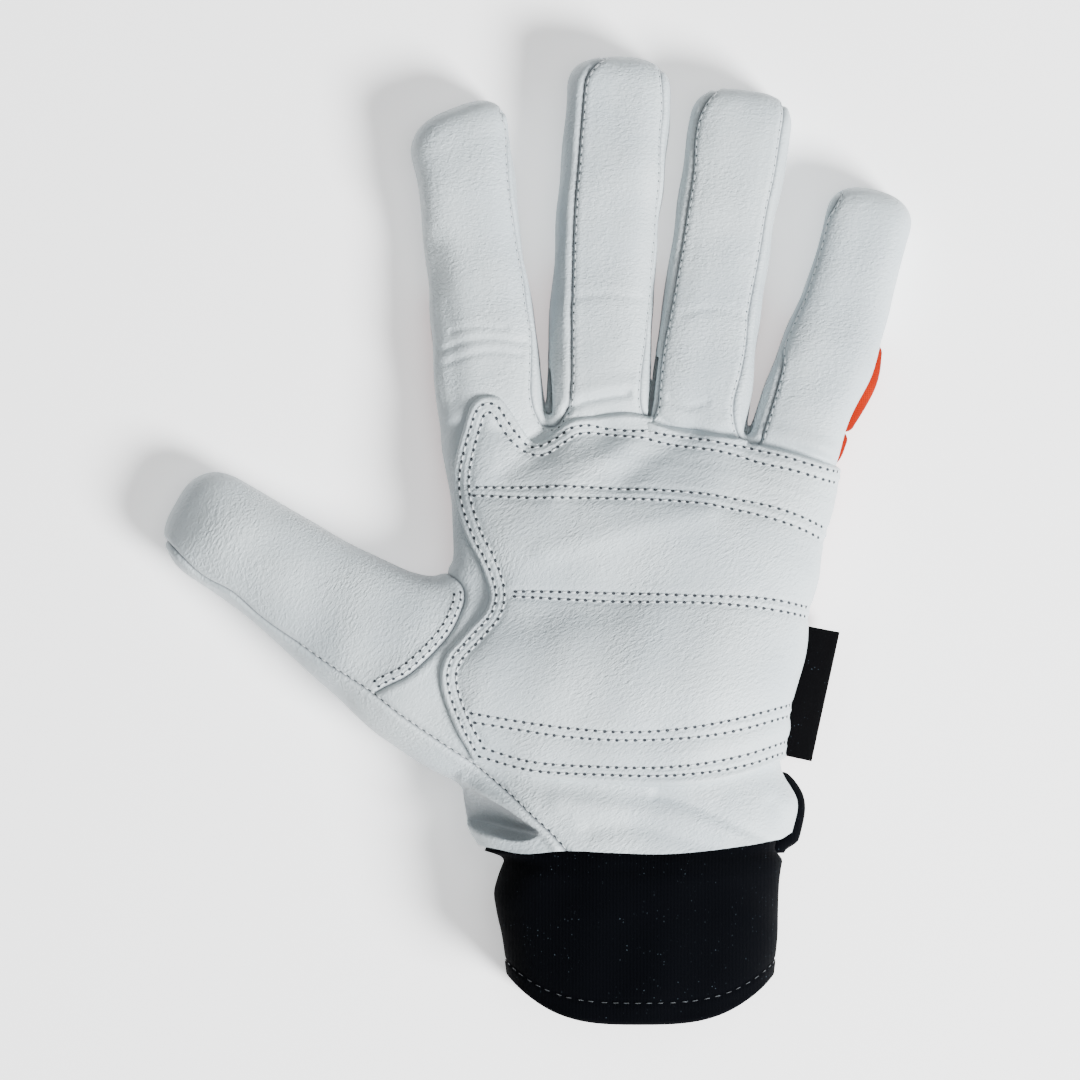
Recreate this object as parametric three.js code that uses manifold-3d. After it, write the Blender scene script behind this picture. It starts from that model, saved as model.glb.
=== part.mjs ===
// Left-hand leather chainsaw glove, lying on its back with the palm up. Millimetres.
// +X runs from the thumb to the little finger, +Y from the cuff to the fingertips, +Z out of the palm.
// The origin is the middle of the bounding box's underside.
//
// The glove is one hollow hand form, a union of superellipse lofts, cut along its seams into the
// pattern pieces that a real glove is sewn from. Neighbouring pieces keep a narrow seam gap.

import * as THREE from "three";
import { mergeVertices } from "three/addons/utils/BufferGeometryUtils.js";
import Module from "manifold-3d";

const wasm = await Module();
wasm.setup();

// Driving sizes of the hand form
const palmLength = 113;
const palmWidth = 100;
const palmThickness = 35;
const wristEdgeSlant = 1.6;
const knuckleDrop = 12.5;
const knuckleRound = 10;
const floorPress = 1;
const roundness = 2.4;
const sideSeamHeight = 9;

// Driving sizes of the leather and of the sewing
const leatherWall = 1.5;
const seamGap = 0.3;
const frontSeamHeight = 16;
const backSeamHeight = 7;
const webDepth = 3.6;
const webReach = 2.4;

// Driving sizes of the pieces sewn on
const padThickness = 1.6;
const padSideLift = 2;
const guardStart = 3;
const guardSwell = 2.4;
const fabricSwellStart = -5;
const wristPanelLength = 19.5;
const wristPanelSwell = 6.8;
const cuffLength = 47;
const cuffWidth = 76;
const cuffThickness = 37;
const cuffWall = 2.4;
const cuffTuck = 8;
const cuffRimRise = 12;
const hemWidth = 5;
const hemExtra = 0.5;
const labelLength = 36;
const labelWidth = 15;
const labelThickness = 0.8;
const labelLean = 12;

const skinColours = { leather: 0xd3dadd, orange: 0xf2431c, black: 0x0c0c0f };
const leather = new THREE.MeshStandardMaterial({ color: skinColours.leather, roughness: 0.6, metalness: 0 });
const orangeFabric = new THREE.MeshStandardMaterial({ color: skinColours.orange, roughness: 0.85, metalness: 0 });
const blackFabric = new THREE.MeshStandardMaterial({ color: skinColours.black, roughness: 0.95, metalness: 0 });

// Palm sections. along is a share of palmLength from the wrist edge. left and right are the edges' distances
// from the centre line as shares of palmWidth, and thick is a share of palmThickness.
const palmSections = [
  { along: 0.0, left: 0.42, right: 0.39, thick: 1.08 },
  { along: 0.08, left: 0.468, right: 0.412, thick: 1.06 },
  { along: 0.18, left: 0.472, right: 0.376, thick: 1.02 },
  { along: 0.3, left: 0.465, right: 0.385, thick: 1.02 },
  { along: 0.45, left: 0.482, right: 0.417, thick: 1.0 },
  { along: 0.6, left: 0.495, right: 0.447, thick: 0.95 },
  { along: 0.75, left: 0.5, right: 0.484, thick: 0.84 },
  { along: 0.88, left: 0.507, right: 0.508, thick: 0.71 },
  { along: 1.0, left: 0.525, right: 0.525, thick: 0.63 },
];

// Finger outlines. along is a share of the finger's length from its base line, and left and right are the
// edges' distances from the axis as shares of half the finger's width.
const straightFinger = [
  { along: -0.2, left: 0.8, right: 0.8, thick: 0.9 },
  { along: 0.0, left: 0.97, right: 0.97, thick: 1.04 },
  { along: 0.25, left: 1.0, right: 0.98, thick: 1.02 },
  { along: 0.5, left: 1.02, right: 0.96, thick: 0.98 },
  { along: 0.75, left: 1.0, right: 1.01, thick: 1.0 },
  { along: 1.0, left: 0.97, right: 1.02, thick: 0.96 },
];
const indexFinger = [
  { along: -0.2, left: 0.85, right: 0.85, thick: 0.9 },
  { along: 0.0, left: 1.06, right: 1.07, thick: 1.04 },
  { along: 0.3, left: 1.02, right: 1.05, thick: 1.02 },
  { along: 0.55, left: 0.97, right: 1.0, thick: 0.98 },
  { along: 0.75, left: 0.95, right: 1.01, thick: 1.0 },
  { along: 0.9, left: 1.03, right: 1.02, thick: 0.97 },
  { along: 1.0, left: 1.06, right: 1.02, thick: 0.95 },
];
const littleFinger = [
  { along: -0.2, left: 0.9, right: 0.75, thick: 0.95 },
  { along: 0.0, left: 1.14, right: 0.96, thick: 1.1 },
  { along: 0.16, left: 1.13, right: 0.97, thick: 1.08 },
  { along: 0.35, left: 1.05, right: 1.16, thick: 1.04 },
  { along: 0.6, left: 0.94, right: 1.1, thick: 0.98 },
  { along: 0.8, left: 0.95, right: 1.03, thick: 1.0 },
  { along: 1.0, left: 0.99, right: 1.0, thick: 0.95 },
];
const thumbOutline = [
  { along: -0.62, left: 1.15, right: 1.1, thick: 1.0 },
  { along: -0.4, left: 1.35, right: 1.4, thick: 1.22 },
  { along: -0.18, left: 1.48, right: 1.56, thick: 1.3 },
  { along: 0.0, left: 1.48, right: 1.58, thick: 1.3 },
  { along: 0.1, left: 1.42, right: 1.5, thick: 1.26 },
  { along: 0.22, left: 1.29, right: 1.28, thick: 1.2 },
  { along: 0.36, left: 1.18, right: 1.16, thick: 1.12 },
  { along: 0.56, left: 1.02, right: 1.08, thick: 1.04 },
  { along: 0.78, left: 0.94, right: 1.02, thick: 1.0 },
  { along: 1.0, left: 0.9, right: 0.95, thick: 0.94 },
];

// The digits. across is a share of palmWidth from the centre line and up a share of palmLength. lean turns
// the axis from +Y towards +X in degrees. round is the length of the rounded tip, and slant is how much
// further the tip reaches on its right side than on its left. knuckle is where the guard ends on the back.
const digits = {
  index: { across: -0.391, up: 1.013, lean: -6.8, length: 85, width: 0.264 * palmWidth, thickness: 21,
    round: 11, slant: 6, knuckle: 0.42, outline: indexFinger },
  middle: { across: -0.117, up: 1.013, lean: 3.9, length: 98, width: 0.275 * palmWidth, thickness: 21.5,
    round: 10, slant: 0, knuckle: 0.42, outline: straightFinger },
  ring: { across: 0.15, up: 0.995, lean: 8.4, length: 92, width: 0.266 * palmWidth, thickness: 21,
    round: 9, slant: 0, knuckle: 0.42, outline: straightFinger },
  little: { across: 0.416, up: 0.937, lean: 17.7, length: 74, width: 0.23 * palmWidth, thickness: 19.5,
    round: 9, slant: 0, knuckle: 0.4, outline: littleFinger },
  thumb: { across: -0.568, up: 0.427, lean: -57, length: 81, width: 0.3 * palmWidth, thickness: 25,
    round: 13, slant: 2, knuckle: 0, outline: thumbOutline },
};

// Seams on the thumb, in its own frame: along is a share of its length and across of half its width.
// The outer seam runs from the tip down to the wrist edge, and the base seam joins thumb and palm.
const outerSeam = [
  { along: 1.03, across: -0.05 },
  { along: 0.97, across: -0.5 },
  { along: 0.86, across: -0.83 },
  { along: 0.6, across: -0.885 },
  { along: 0.3, across: -0.94 },
  { along: 0.1, across: -0.97 },
  { along: -0.2, across: -1.0 },
  { along: -0.46, across: -1.16 },
  { along: -0.7, across: -1.37 },
  { along: -0.85, across: -1.5 },
];
const thumbBaseSeam = [
  { along: 0.13, across: -1.7 },
  { along: 0.1, across: -0.97 },
  { along: 0.04, across: -0.34 },
  { along: 0.005, across: 0.45 },
  { along: 0.004, across: 0.97 },
  { along: 0.023, across: 1.33 },
  { along: 0.075, across: 1.53 },
  { along: 0.2, across: 2.2 },
];

// Seam on the back between the thumb's leather and the fabric: across is a share of palmWidth from the
// centre line and up a share of palmLength.
const thumbBackSeam = [
  { across: -0.7, up: 0.75 },
  { across: -0.5, up: 0.62 },
  { across: -0.3, up: 0.35 },
  { across: -0.17, up: 0.08 },
  { across: -0.15, up: -0.1 },
];

// Outline of the palm pad, anticlockwise from the outer wrist corner: across is a share of the palm's own
// width at that height, 0 on the thumb side and 1 on the outer side, and up is a share of palmLength.
const padOutline = [
  { across: 1.15, up: 0.22 },
  { across: 1.15, up: 0.85 },
  { across: 0.99, up: 0.905 },
  { across: 0.79, up: 0.95 },
  { across: 0.6, up: 0.975 },
  { across: 0.5, up: 1.0 },
  { across: 0.4, up: 1.018 },
  { across: 0.318, up: 1.016 },
  { across: 0.28, up: 0.985 },
  { across: 0.243, up: 0.962 },
  { across: 0.205, up: 0.962 },
  { across: 0.19, up: 0.99 },
  { across: 0.165, up: 1.04 },
  { across: 0.14, up: 1.066 },
  { across: 0.113, up: 1.073 },
  { across: 0.085, up: 1.062 },
  { across: 0.045, up: 1.02 },
  { across: 0.018, up: 0.96 },
  { across: 0.01, up: 0.88 },
  { across: 0.014, up: 0.79 },
  { across: 0.048, up: 0.715 },
  { across: 0.078, up: 0.66 },
  { across: 0.1, up: 0.6 },
  { across: 0.09, up: 0.562 },
  { across: 0.035, up: 0.505 },
  { across: -0.022, up: 0.45 },
  { across: -0.05, up: 0.4 },
  { across: -0.05, up: 0.35 },
  { across: -0.02, up: 0.27 },
  { across: 0.03, up: 0.215 },
  { across: 0.12, up: 0.178 },
  { across: 0.3, up: 0.152 },
  { across: 0.55, up: 0.145 },
  { across: 0.8, up: 0.16 },
];

const degrees = Math.PI / 180;
const far = 2 * (palmLength + palmWidth);

// Smooth reading of one column of a table at a given along, by Catmull-Rom.
function read(rows, column, along) {
  const last = rows.length - 1;
  if (along <= rows[0].along) return rows[0][column];
  if (along >= rows[last].along) return rows[last][column];
  const i = rows.findIndex((row, k) => k < last && along < rows[k + 1].along);
  const [a, b, c, d] = [i - 1, i, i + 1, i + 2].map((k) => rows[Math.min(last, Math.max(0, k))]);
  const span = c.along - b.along;
  const u = (along - b.along) / span;
  const slopeB = ((c[column] - a[column]) / Math.max(c.along - a.along, span)) * span;
  const slopeC = ((d[column] - b[column]) / Math.max(d.along - b.along, span)) * span;
  const rise = c[column] - b[column];
  return b[column] + u * (slopeB + u * (3 * rise - 2 * slopeB - slopeC + u * (slopeB + slopeC - 2 * rise)));
}

// Superellipse power of a cosine or sine, with its sign kept.
function bulge(value) {
  return Math.sign(value) * Math.abs(value) ** (2 / roundness);
}

// Half size left of a rounded end at share q of its length.
function capScale(q) {
  return (1 - Math.min(1, q) ** roundness) ** (1 / roundness);
}

// A digit's own plan frame, and its local point (s along, n to the right) in the glove's frame.
function digitPoint(digit, s, n) {
  const lean = digit.lean * degrees;
  const x = digit.across * palmWidth + s * Math.sin(lean) + n * Math.cos(lean);
  const y = digit.up * palmLength + s * Math.cos(lean) - n * Math.sin(lean);
  return new THREE.Vector2(x, y);
}

// One ring of a loft: place(across from -1 to 1) gives the plan point, and the height is a superellipse that
// is pressed flat on the floor. grow moves the whole skin out, or in where it is negative.
function ring(sides, place, halfThickness, scale, grow) {
  const high = (halfThickness + grow) * scale;
  const middle = halfThickness - floorPress;
  const floor = Math.max(0, -grow);
  return Array.from({ length: sides }, (_, k) => {
    const angle = (2 * Math.PI * k) / sides;
    const plan = place(bulge(Math.cos(angle)));
    return new THREE.Vector3(plan.x, plan.y, Math.max(floor, middle + high * bulge(Math.sin(angle))));
  });
}

// Closed mesh through rings of equal count, with a fan over each end.
function loft(rings) {
  const sides = rings[0].length;
  const points = rings.flat();
  const middleOf = (loop) =>
    loop.reduce((sum, p) => sum.add(p), new THREE.Vector3()).divideScalar(loop.length);
  const start = points.push(middleOf(rings[0])) - 1;
  const end = points.push(middleOf(rings.at(-1))) - 1;
  const faces = [];
  for (let k = 0; k < sides; k++) {
    const next = (k + 1) % sides;
    faces.push(start, next, k);
    for (let r = 0; r < rings.length - 1; r++) {
      const [a, b, c, d] = [r * sides + k, r * sides + next, (r + 1) * sides + next, (r + 1) * sides + k];
      faces.push(a, b, c, a, c, d);
    }
    const top = (rings.length - 1) * sides;
    faces.push(end, top + k, top + next);
  }
  return meshGeometry(points, faces);
}

function meshGeometry(points, faces) {
  const geometry = new THREE.BufferGeometry();
  geometry.setAttribute("position", new THREE.Float32BufferAttribute(points.flatMap((p) => p.toArray()), 3));
  geometry.setIndex(faces);
  return geometry;
}

// manifold-3d solid of a closed three.js geometry, turned right side out.
function solid(geometry) {
  const bare = geometry.clone();
  bare.deleteAttribute("normal");
  bare.deleteAttribute("uv");
  const merged = mergeVertices(bare, 1e-4);
  const triVerts = new Uint32Array(merged.index.array);
  const mesh = () =>
    new wasm.Mesh({ numProp: 3, vertProperties: new Float32Array(merged.attributes.position.array), triVerts });
  const made = new wasm.Manifold(mesh());
  if (made.volume() >= 0) return made;
  for (let i = 0; i < triVerts.length; i += 3) {
    [triVerts[i + 1], triVerts[i + 2]] = [triVerts[i + 2], triVerts[i + 1]];
  }
  return new wasm.Manifold(mesh());
}

function geometryOf(manifold) {
  const { vertProperties, triVerts } = manifold.getMesh();
  const geometry = new THREE.BufferGeometry();
  geometry.setAttribute("position", new THREE.BufferAttribute(vertProperties, 3));
  geometry.setIndex(new THREE.BufferAttribute(triVerts, 1));
  return geometry;
}

// Upright prism over a plan outline, from the height low to the height high.
function prism(outline, low, high) {
  const shape = new THREE.Shape(outline);
  const geometry = new THREE.ExtrudeGeometry(shape, { depth: high - low, bevelEnabled: false });
  return solid(geometry.translate(0, 0, low));
}

// Outline moved outwards by distance, or inwards where it is negative.
function offset(outline, distance) {
  const sign = THREE.ShapeUtils.area(outline) > 0 ? 1 : -1;
  const count = outline.length;
  const edgeNormal = (k) => {
    const edge = outline[(k + 1) % count].clone().sub(outline[k % count]).normalize();
    return new THREE.Vector2(edge.y, -edge.x).multiplyScalar(sign);
  };
  return outline.map((point, k) => {
    const before = edgeNormal(k + count - 1);
    const after = edgeNormal(k);
    const corner = before.clone().add(after);
    return point.clone().addScaledVector(corner, distance / (1 + before.dot(after)));
  });
}

// Stations
const fingerSides = 16;
const thumbSides = 18;
const palmSides = 30;
const fingerStations = [-0.18, 0, 0.16, 0.34, 0.52, 0.7];
const littleStations = [-0.18, 0, 0.14, 0.26, 0.38, 0.54, 0.72];
const thumbStations = [-0.6, -0.4, -0.2, 0, 0.1, 0.22, 0.36, 0.52, 0.68];
const palmStations = [0.08, 0.18, 0.3, 0.45, 0.6, 0.75, 0.88];
const capStations = [0, 0.45, 0.75, 0.93, 1];

function digitLoft(digit, stations, sides, grow, swell = () => 0) {
  const halfWidth = digit.width / 2;
  const capStart = digit.length - digit.round;
  const rows = stations.map((share) => ({ s: share * digit.length, q: 0 }));
  capStations.forEach((q) => rows.push({ s: capStart + (digit.round + grow) * q, q }));
  return loft(
    rows.map(({ s, q }) => {
      const share = s / digit.length;
      const scale = capScale(q);
      const left = (read(digit.outline, "left", share) * halfWidth + grow) * scale;
      const right = (read(digit.outline, "right", share) * halfWidth + grow + swell(s)) * scale;
      const tilt = digit.slant * THREE.MathUtils.smoothstep(s, capStart - 2 * digit.round, capStart);
      const place = (t) => {
        const n = t < 0 ? t * left : t * right;
        return digitPoint(digit, s + (tilt * n) / digit.width, n);
      };
      return ring(sides, place, (read(digit.outline, "thick", share) * digit.thickness) / 2, scale, grow);
    }),
  );
}

// Plan point of the palm: share up its length, across from -1 on the thumb side to 1 on the outer side.
function palmPoint(up, across, grow, scale, swell = 0) {
  const left = read(palmSections, "left", up) * palmWidth + grow;
  const right = read(palmSections, "right", up) * palmWidth + grow + swell;
  const x = (across < 0 ? across * left : across * right) * scale;
  const outer = Math.max(0, x / (palmWidth / 2));
  const drop = knuckleDrop * outer ** 2 * THREE.MathUtils.clamp(up, 0, 1) ** 3;
  const slant = wristEdgeSlant * across * (1 - THREE.MathUtils.clamp(up, 0, 1));
  return new THREE.Vector2(x, up * palmLength - drop + slant);
}

function palmLoft(mouth, grow) {
  const rows = [{ up: -mouth / palmLength, q: 0 }, { up: 0, q: 0 }].slice(mouth > 0 ? 0 : 1);
  palmStations.forEach((up) => rows.push({ up, q: 0 }));
  const capStart = 1 + (0.02 * palmLength - knuckleRound) / palmLength;
  capStations.forEach((q) => rows.push({ up: capStart + ((knuckleRound + grow) / palmLength) * q, q }));
  return loft(
    rows.map(({ up, q }) => {
      const thickness = read(palmSections, "thick", up) * palmThickness;
      return ring(palmSides, (t) => palmPoint(up, t, grow, capScale(q)), thickness / 2, capScale(q), grow);
    }),
  );
}

// The whole hand form with its skin moved by grow. mouth is how far it reaches past the wrist edge.
function handForm(grow, mouth) {
  const stationsOf = { thumb: thumbStations, little: littleStations };
  let form = solid(palmLoft(mouth, grow));
  for (const [name, digit] of Object.entries(digits)) {
    const sides = name === "thumb" ? thumbSides : fingerSides;
    form = form.add(solid(digitLoft(digit, stationsOf[name] ?? fingerStations, sides, grow)));
  }
  return form;
}

const hollow = handForm(-leatherWall, 2 * cuffTuck);
const skin = handForm(0, 0);
const shell = skin.subtract(hollow);

// Rounded bump of height 1 from start to end.
function bump(value, start, end) {
  const t = (value - start) / (end - start);
  return t <= 0 || t >= 1 ? 0 : Math.sqrt(4 * t * (1 - t));
}

// The little finger's padded guard and the end of the back fabric stand out past the leather on the outer side.
const little = digits.little;
const guardEnd = (digit) => digit.knuckle * digit.length;
const littleSwell = (s) =>
  guardSwell * bump(s, guardStart, guardEnd(little)) + 0.6 * guardSwell * bump(s, fabricSwellStart, guardStart);
const swellRange = (start, end, shares) => shares.map((share) => (start + share * (end - start)) / little.length);
const swellStations = [
  ...swellRange(fabricSwellStart, guardStart, [0, 0.25, 0.6, 0.94]),
  ...swellRange(guardStart, guardEnd(little), [0.02, 0.1, 0.22, 0.45, 0.68, 0.82, 0.94, 0.99]),
];
const swollenStations = [-0.18, ...swellStations, 0.54, 0.72];
const swollenLittle = solid(digitLoft(little, swollenStations, fingerSides, 0, littleSwell));

// The wrist panel bulges out in the same way.
const panelSwell = (up) => wristPanelSwell * bump(up * palmLength, -1, wristPanelLength);
const panelForm = solid(
  loft(
    [0, 0.05, 0.1, 0.14, 0.16, 0.175].map((up) => {
      const thickness = read(palmSections, "thick", up) * palmThickness;
      return ring(palmSides, (t) => palmPoint(up, t, 0, 1, panelSwell(up)), thickness / 2, 1, 0);
    }),
  ),
);

// Plan regions
const thumb = digits.thumb;
const half = seamGap / 2;
const thumbPlan = (rows) =>
  rows.map((row) => digitPoint(thumb, row.along * thumb.length, (row.across * thumb.width) / 2));
const palmPlan = (rows) => rows.map((row) => new THREE.Vector2(row.across * palmWidth, row.up * palmLength));

// Everything on the outer side of the thumb's outer seam, at all heights.
const outerEnds = [{ along: -0.85, across: -5 }, { along: 1.4, across: -5 }, { along: 1.4, across: -0.05 }];
const outerThumb = (grow) => prism(offset(thumbPlan([...outerSeam, ...outerEnds]), grow), -1, far);

// Everything beyond the thumb's base seam.
const thumbEnds = [{ along: 1.4, across: 2.2 }, { along: 1.4, across: -1.7 }];
const beyondBase = (grow) => prism(offset(thumbPlan([...thumbBaseSeam, ...thumbEnds]), grow), -1, far);

// Everything on the thumb side of the seam on the back.
const thumbSideEnds = [{ across: -3, up: -0.1 }, { across: -3, up: 1.1 }, { across: -0.7, up: 1.1 }];
const thumbSide = (grow) => prism(offset(palmPlan([...thumbBackSeam, ...thumbSideEnds]), grow), -1, far);

const slab = (low, high) =>
  solid(new THREE.BoxGeometry(2 * far, 2 * far, high - low).translate(0, 0, (low + high) / 2));

// Strip in a digit's frame: a side view outline of [s, z] pairs, carried across from n = from to n = to.
function strip(digit, sideView, from, to) {
  const shape = new THREE.Shape(sideView.map(([s, z]) => new THREE.Vector2(s, z)));
  const geometry = new THREE.ExtrudeGeometry(shape, { depth: to - from, bevelEnabled: false });
  const origin = digitPoint(digit, 0, from);
  const along = digitPoint(digit, 1, from).sub(origin);
  const side = digitPoint(digit, 0, from + 1).sub(origin);
  const place = new THREE.Matrix4().makeBasis(
    new THREE.Vector3(along.x, along.y, 0),
    new THREE.Vector3(0, 0, 1),
    new THREE.Vector3(side.x, side.y, 0),
  );
  place.setPosition(origin.x, origin.y, 0);
  return solid(geometry.applyMatrix4(place));
}

// Side strip of one finger between its front and its back: full height at the web, running out at the tip.
function sideBand(digit, side, grow) {
  const reach = digit.width / 2 + webReach;
  const taper = digit.length - 2.2 * digit.round;
  const end = digit.length - 0.35 * digit.round + grow;
  const low = backSeamHeight - grow;
  const high = frontSeamHeight + grow;
  const tipLow = sideSeamHeight - half;
  const tipHigh = sideSeamHeight + half;
  const start = -webDepth - grow;
  const sideView = [[start, low], [taper, low], [end, tipLow], [end, tipHigh], [taper, high], [start, high]];
  return side > 0 ? strip(digit, sideView, -grow, reach) : strip(digit, sideView, -reach, grow);
}
const webs = [["index", "middle"], ["middle", "ring"], ["ring", "little"]];
const webBand = ([left, right], grow) => sideBand(digits[left], 1, grow).add(sideBand(digits[right], -1, grow));

// Length of one finger between two distances from its base line, over its full width.
function fingerPart(digit, start, end) {
  const reach = digit.width / 2 + webReach + guardSwell;
  return strip(digit, [[start, -1], [end, -1], [end, sideSeamHeight], [start, sideSeamHeight]], -reach, reach);
}

// The piece itself, without the crumbs that crossing cuts leave at a web.
const piece = (cut) => cut.decompose().sort((a, b) => b.volume() - a.volume())[0].simplify(0.07);
const all = (solids) => solids.reduce((sum, one) => sum.add(one));

const webCuts = all(webs.map((web) => webBand(web, seamGap)));
const upper = shell
  .intersect(slab(sideSeamHeight + half, far))
  .subtract(outerThumb(half))
  .subtract(webCuts);
const lower = skin
  .add(swollenLittle)
  .subtract(hollow)
  .intersect(slab(-1, sideSeamHeight - half).add(outerThumb(-half)))
  .subtract(webCuts);

const fingers = ["index", "middle", "ring", "little"].map((name) => [name, digits[name]]);
const fingersOnly = all(fingers.map(([, digit]) => fingerPart(digit, guardStart - half, far)));
const wristZone = (grow) =>
  solid(
    new THREE.BoxGeometry(far, 2 * (wristPanelLength + grow), far).translate(far / 2 - 0.2 * palmWidth, 0, 0),
  ).subtract(thumbSide(seamGap - grow));

const nodes = {
  palm_leather: [leather, piece(upper.subtract(beyondBase(half)))],
  thumb_front: [leather, piece(upper.intersect(beyondBase(-half)))],
  thumb_back: [leather, piece(lower.intersect(thumbSide(-half)))],
  back_fabric: [
    orangeFabric,
    piece(lower.subtract(thumbSide(half)).subtract(fingersOnly).subtract(wristZone(half))),
  ],
  wrist_panel: [
    blackFabric,
    piece(
      panelForm
        .subtract(hollow)
        .intersect(slab(-1, sideSeamHeight - half))
        .intersect(wristZone(-half)),
    ),
  ],
};
for (const [name, digit] of fingers) {
  nodes[`finger_guard_${name}`] = [
    orangeFabric,
    piece(lower.intersect(fingerPart(digit, guardStart + half, guardEnd(digit) - half))),
  ];
  nodes[`finger_back_${name}`] = [leather, piece(lower.intersect(fingerPart(digit, guardEnd(digit) + half, far)))];
}
for (const web of webs) nodes[`fourchette_${web.join("_")}`] = [leather, piece(shell.intersect(webBand(web, 0)))];

// Palm pad, laid on the leather and cut to its outline.
const padPlan = padOutline.map(({ across, up }) => {
  const left = read(palmSections, "left", up) * palmWidth;
  const right = read(palmSections, "right", up) * palmWidth;
  return new THREE.Vector2(across * (left + right) - left, up * palmLength);
});
const padShape = new THREE.SplineCurve([...padPlan, padPlan[0]]).getPoints(2 * padPlan.length).slice(0, -1);
const padLayer = handForm(seamGap + padThickness, 0).subtract(handForm(seamGap, 0));
nodes.palm_pad = [
  leather,
  piece(padLayer.intersect(prism(padShape, sideSeamHeight + padSideLift, far))),
];

// Cuff: a knitted tube. Rows run from inside the wrist to the rim; along is a share of cuffLength below the
// wrist edge, left and right are shares of cuffWidth and thick of cuffThickness.
const cuffSections = [
  { along: 0.1, left: 0.495, right: 0.505, thick: 0.98 },
  { along: 0.16, left: 0.512, right: 0.5, thick: 1 },
  { along: 0.22, left: 0.517, right: 0.495, thick: 1 },
  { along: 0.45, left: 0.5, right: 0.49, thick: 1 },
  { along: 0.7, left: 0.486, right: 0.49, thick: 1 },
  { along: 1.0, left: 0.484, right: 0.49, thick: 0.98 },
];
const cuffStations = [0.1, 0.16, 0.25, 0.5, 0.75];
const cuffSides = 28;
function cuffTube(grow, overrun) {
  const inset = leatherWall + seamGap;
  const tucked = [cuffTuck + overrun, -0.4].map((y) => {
    const up = y / palmLength;
    const thickness = read(palmSections, "thick", up) * palmThickness;
    const place = (t) => palmPoint(up, t, grow - inset, 1);
    return ring(cuffSides, place, thickness / 2, 1, grow - inset);
  });
  const rimStart = 1 - hemWidth / cuffLength;
  const rows = [...cuffStations, rimStart, 1].map((along) => ({ along, extra: 0 }));
  if (grow === 0) rows.splice(-1, 1, { along: rimStart + 0.01, extra: hemExtra }, { along: 1, extra: hemExtra });
  else rows.push({ along: 1 + 0.1, extra: 0 });
  const outside = rows.map(({ along, extra }) => {
    const left = read(cuffSections, "left", along) * cuffWidth + grow + extra;
    const right = read(cuffSections, "right", along) * cuffWidth + grow + extra;
    const place = (t) => {
      const rise = cuffRimRise * Math.abs(t) ** 3.2 * along;
      return new THREE.Vector2(t < 0 ? t * left : t * right, rise - along * cuffLength);
    };
    return ring(cuffSides, place, (read(cuffSections, "thick", along) * cuffThickness) / 2, 1, grow + extra);
  });
  return solid(loft([...tucked, ...outside]));
}
nodes.cuff = [blackFabric, cuffTube(0, 0).subtract(cuffTube(-cuffWall, 1))];

// Bare woven label, caught in the outer side seam below the pad.
const labelPlan = [
  [-labelWidth, -labelLength / 2], [0, -labelLength / 2], [0, labelLength / 2], [-labelWidth, labelLength / 2],
].map(([x, y]) => new THREE.Vector2(x, y).rotateAround(new THREE.Vector2(), -labelLean * degrees));
const labelEdge = new THREE.Vector2(0.497 * palmWidth, 0.365 * palmLength);
const labelTop = sideSeamHeight - seamGap;
nodes.side_label = [
  blackFabric,
  piece(
    prism(labelPlan.map((point) => point.add(labelEdge)), labelTop - labelThickness, labelTop).subtract(
      handForm(seamGap, 0),
    ),
  ),
];

const group = new THREE.Group();
for (const [name, [material, body]] of Object.entries(nodes)) {
  const mesh = new THREE.Mesh(geometryOf(body), material);
  mesh.name = name;
  group.add(mesh);
}

// The origin goes to the middle of the underside.
const bounds = new THREE.Box3().setFromObject(group);
const middle = bounds.getCenter(new THREE.Vector3());
group.position.set(-middle.x, -middle.y, -bounds.min.z);
group.name = "chainsaw_glove";

export default group;
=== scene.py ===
"""A left-hand leather chainsaw glove, lying on its back with the palm up."""

import bpy
import numpy as np
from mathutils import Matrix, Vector


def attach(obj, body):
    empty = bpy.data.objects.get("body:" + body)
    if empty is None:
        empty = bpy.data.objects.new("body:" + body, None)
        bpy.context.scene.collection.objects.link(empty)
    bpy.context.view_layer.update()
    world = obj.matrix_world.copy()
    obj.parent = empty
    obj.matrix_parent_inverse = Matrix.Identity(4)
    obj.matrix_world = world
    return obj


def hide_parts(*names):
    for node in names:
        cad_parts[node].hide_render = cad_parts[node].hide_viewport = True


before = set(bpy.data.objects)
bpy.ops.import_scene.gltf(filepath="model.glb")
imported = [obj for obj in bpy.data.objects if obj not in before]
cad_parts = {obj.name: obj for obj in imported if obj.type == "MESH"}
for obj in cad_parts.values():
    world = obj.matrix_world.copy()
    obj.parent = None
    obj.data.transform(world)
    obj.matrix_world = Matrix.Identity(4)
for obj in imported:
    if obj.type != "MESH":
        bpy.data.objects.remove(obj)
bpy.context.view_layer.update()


# The hand form: one soft skin round palm, fingers and thumb, stuffed as if a relaxed hand were inside.
# All the leather and fabric pieces are cut from it, as their patterns are cut to fit the same hand.
# Lengths are in millimetres, in the part's own frame, until a mesh is made.

MM = 0.001
PIXEL = 0.26943

def at(px, py):
    """The place of a point measured on the photograph: pixels from its middle, times one pixel's size."""
    return np.array([(px - 538.0) * PIXEL, (540.0 - py) * PIXEL])


def smooth_column(along, values, count=300):
    """Cubic curve through a table's column, with the slope at each row taken from its two neighbours."""
    along, values = np.array(along, float), np.array(values, float)
    slopes = np.gradient(values, along)
    fine = np.linspace(along[0], along[-1], count)
    i = np.clip(np.searchsorted(along, fine, side="right") - 1, 0, len(along) - 2)
    span = along[i + 1] - along[i]
    t = (fine - along[i]) / span
    rise = values[i + 1] - values[i]
    first, second = slopes[i] * span, slopes[i + 1] * span
    curve = values[i] + t * (first + t * (3 * rise - 2 * first - second + t * (first + second - 2 * rise)))
    return fine, curve


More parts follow.
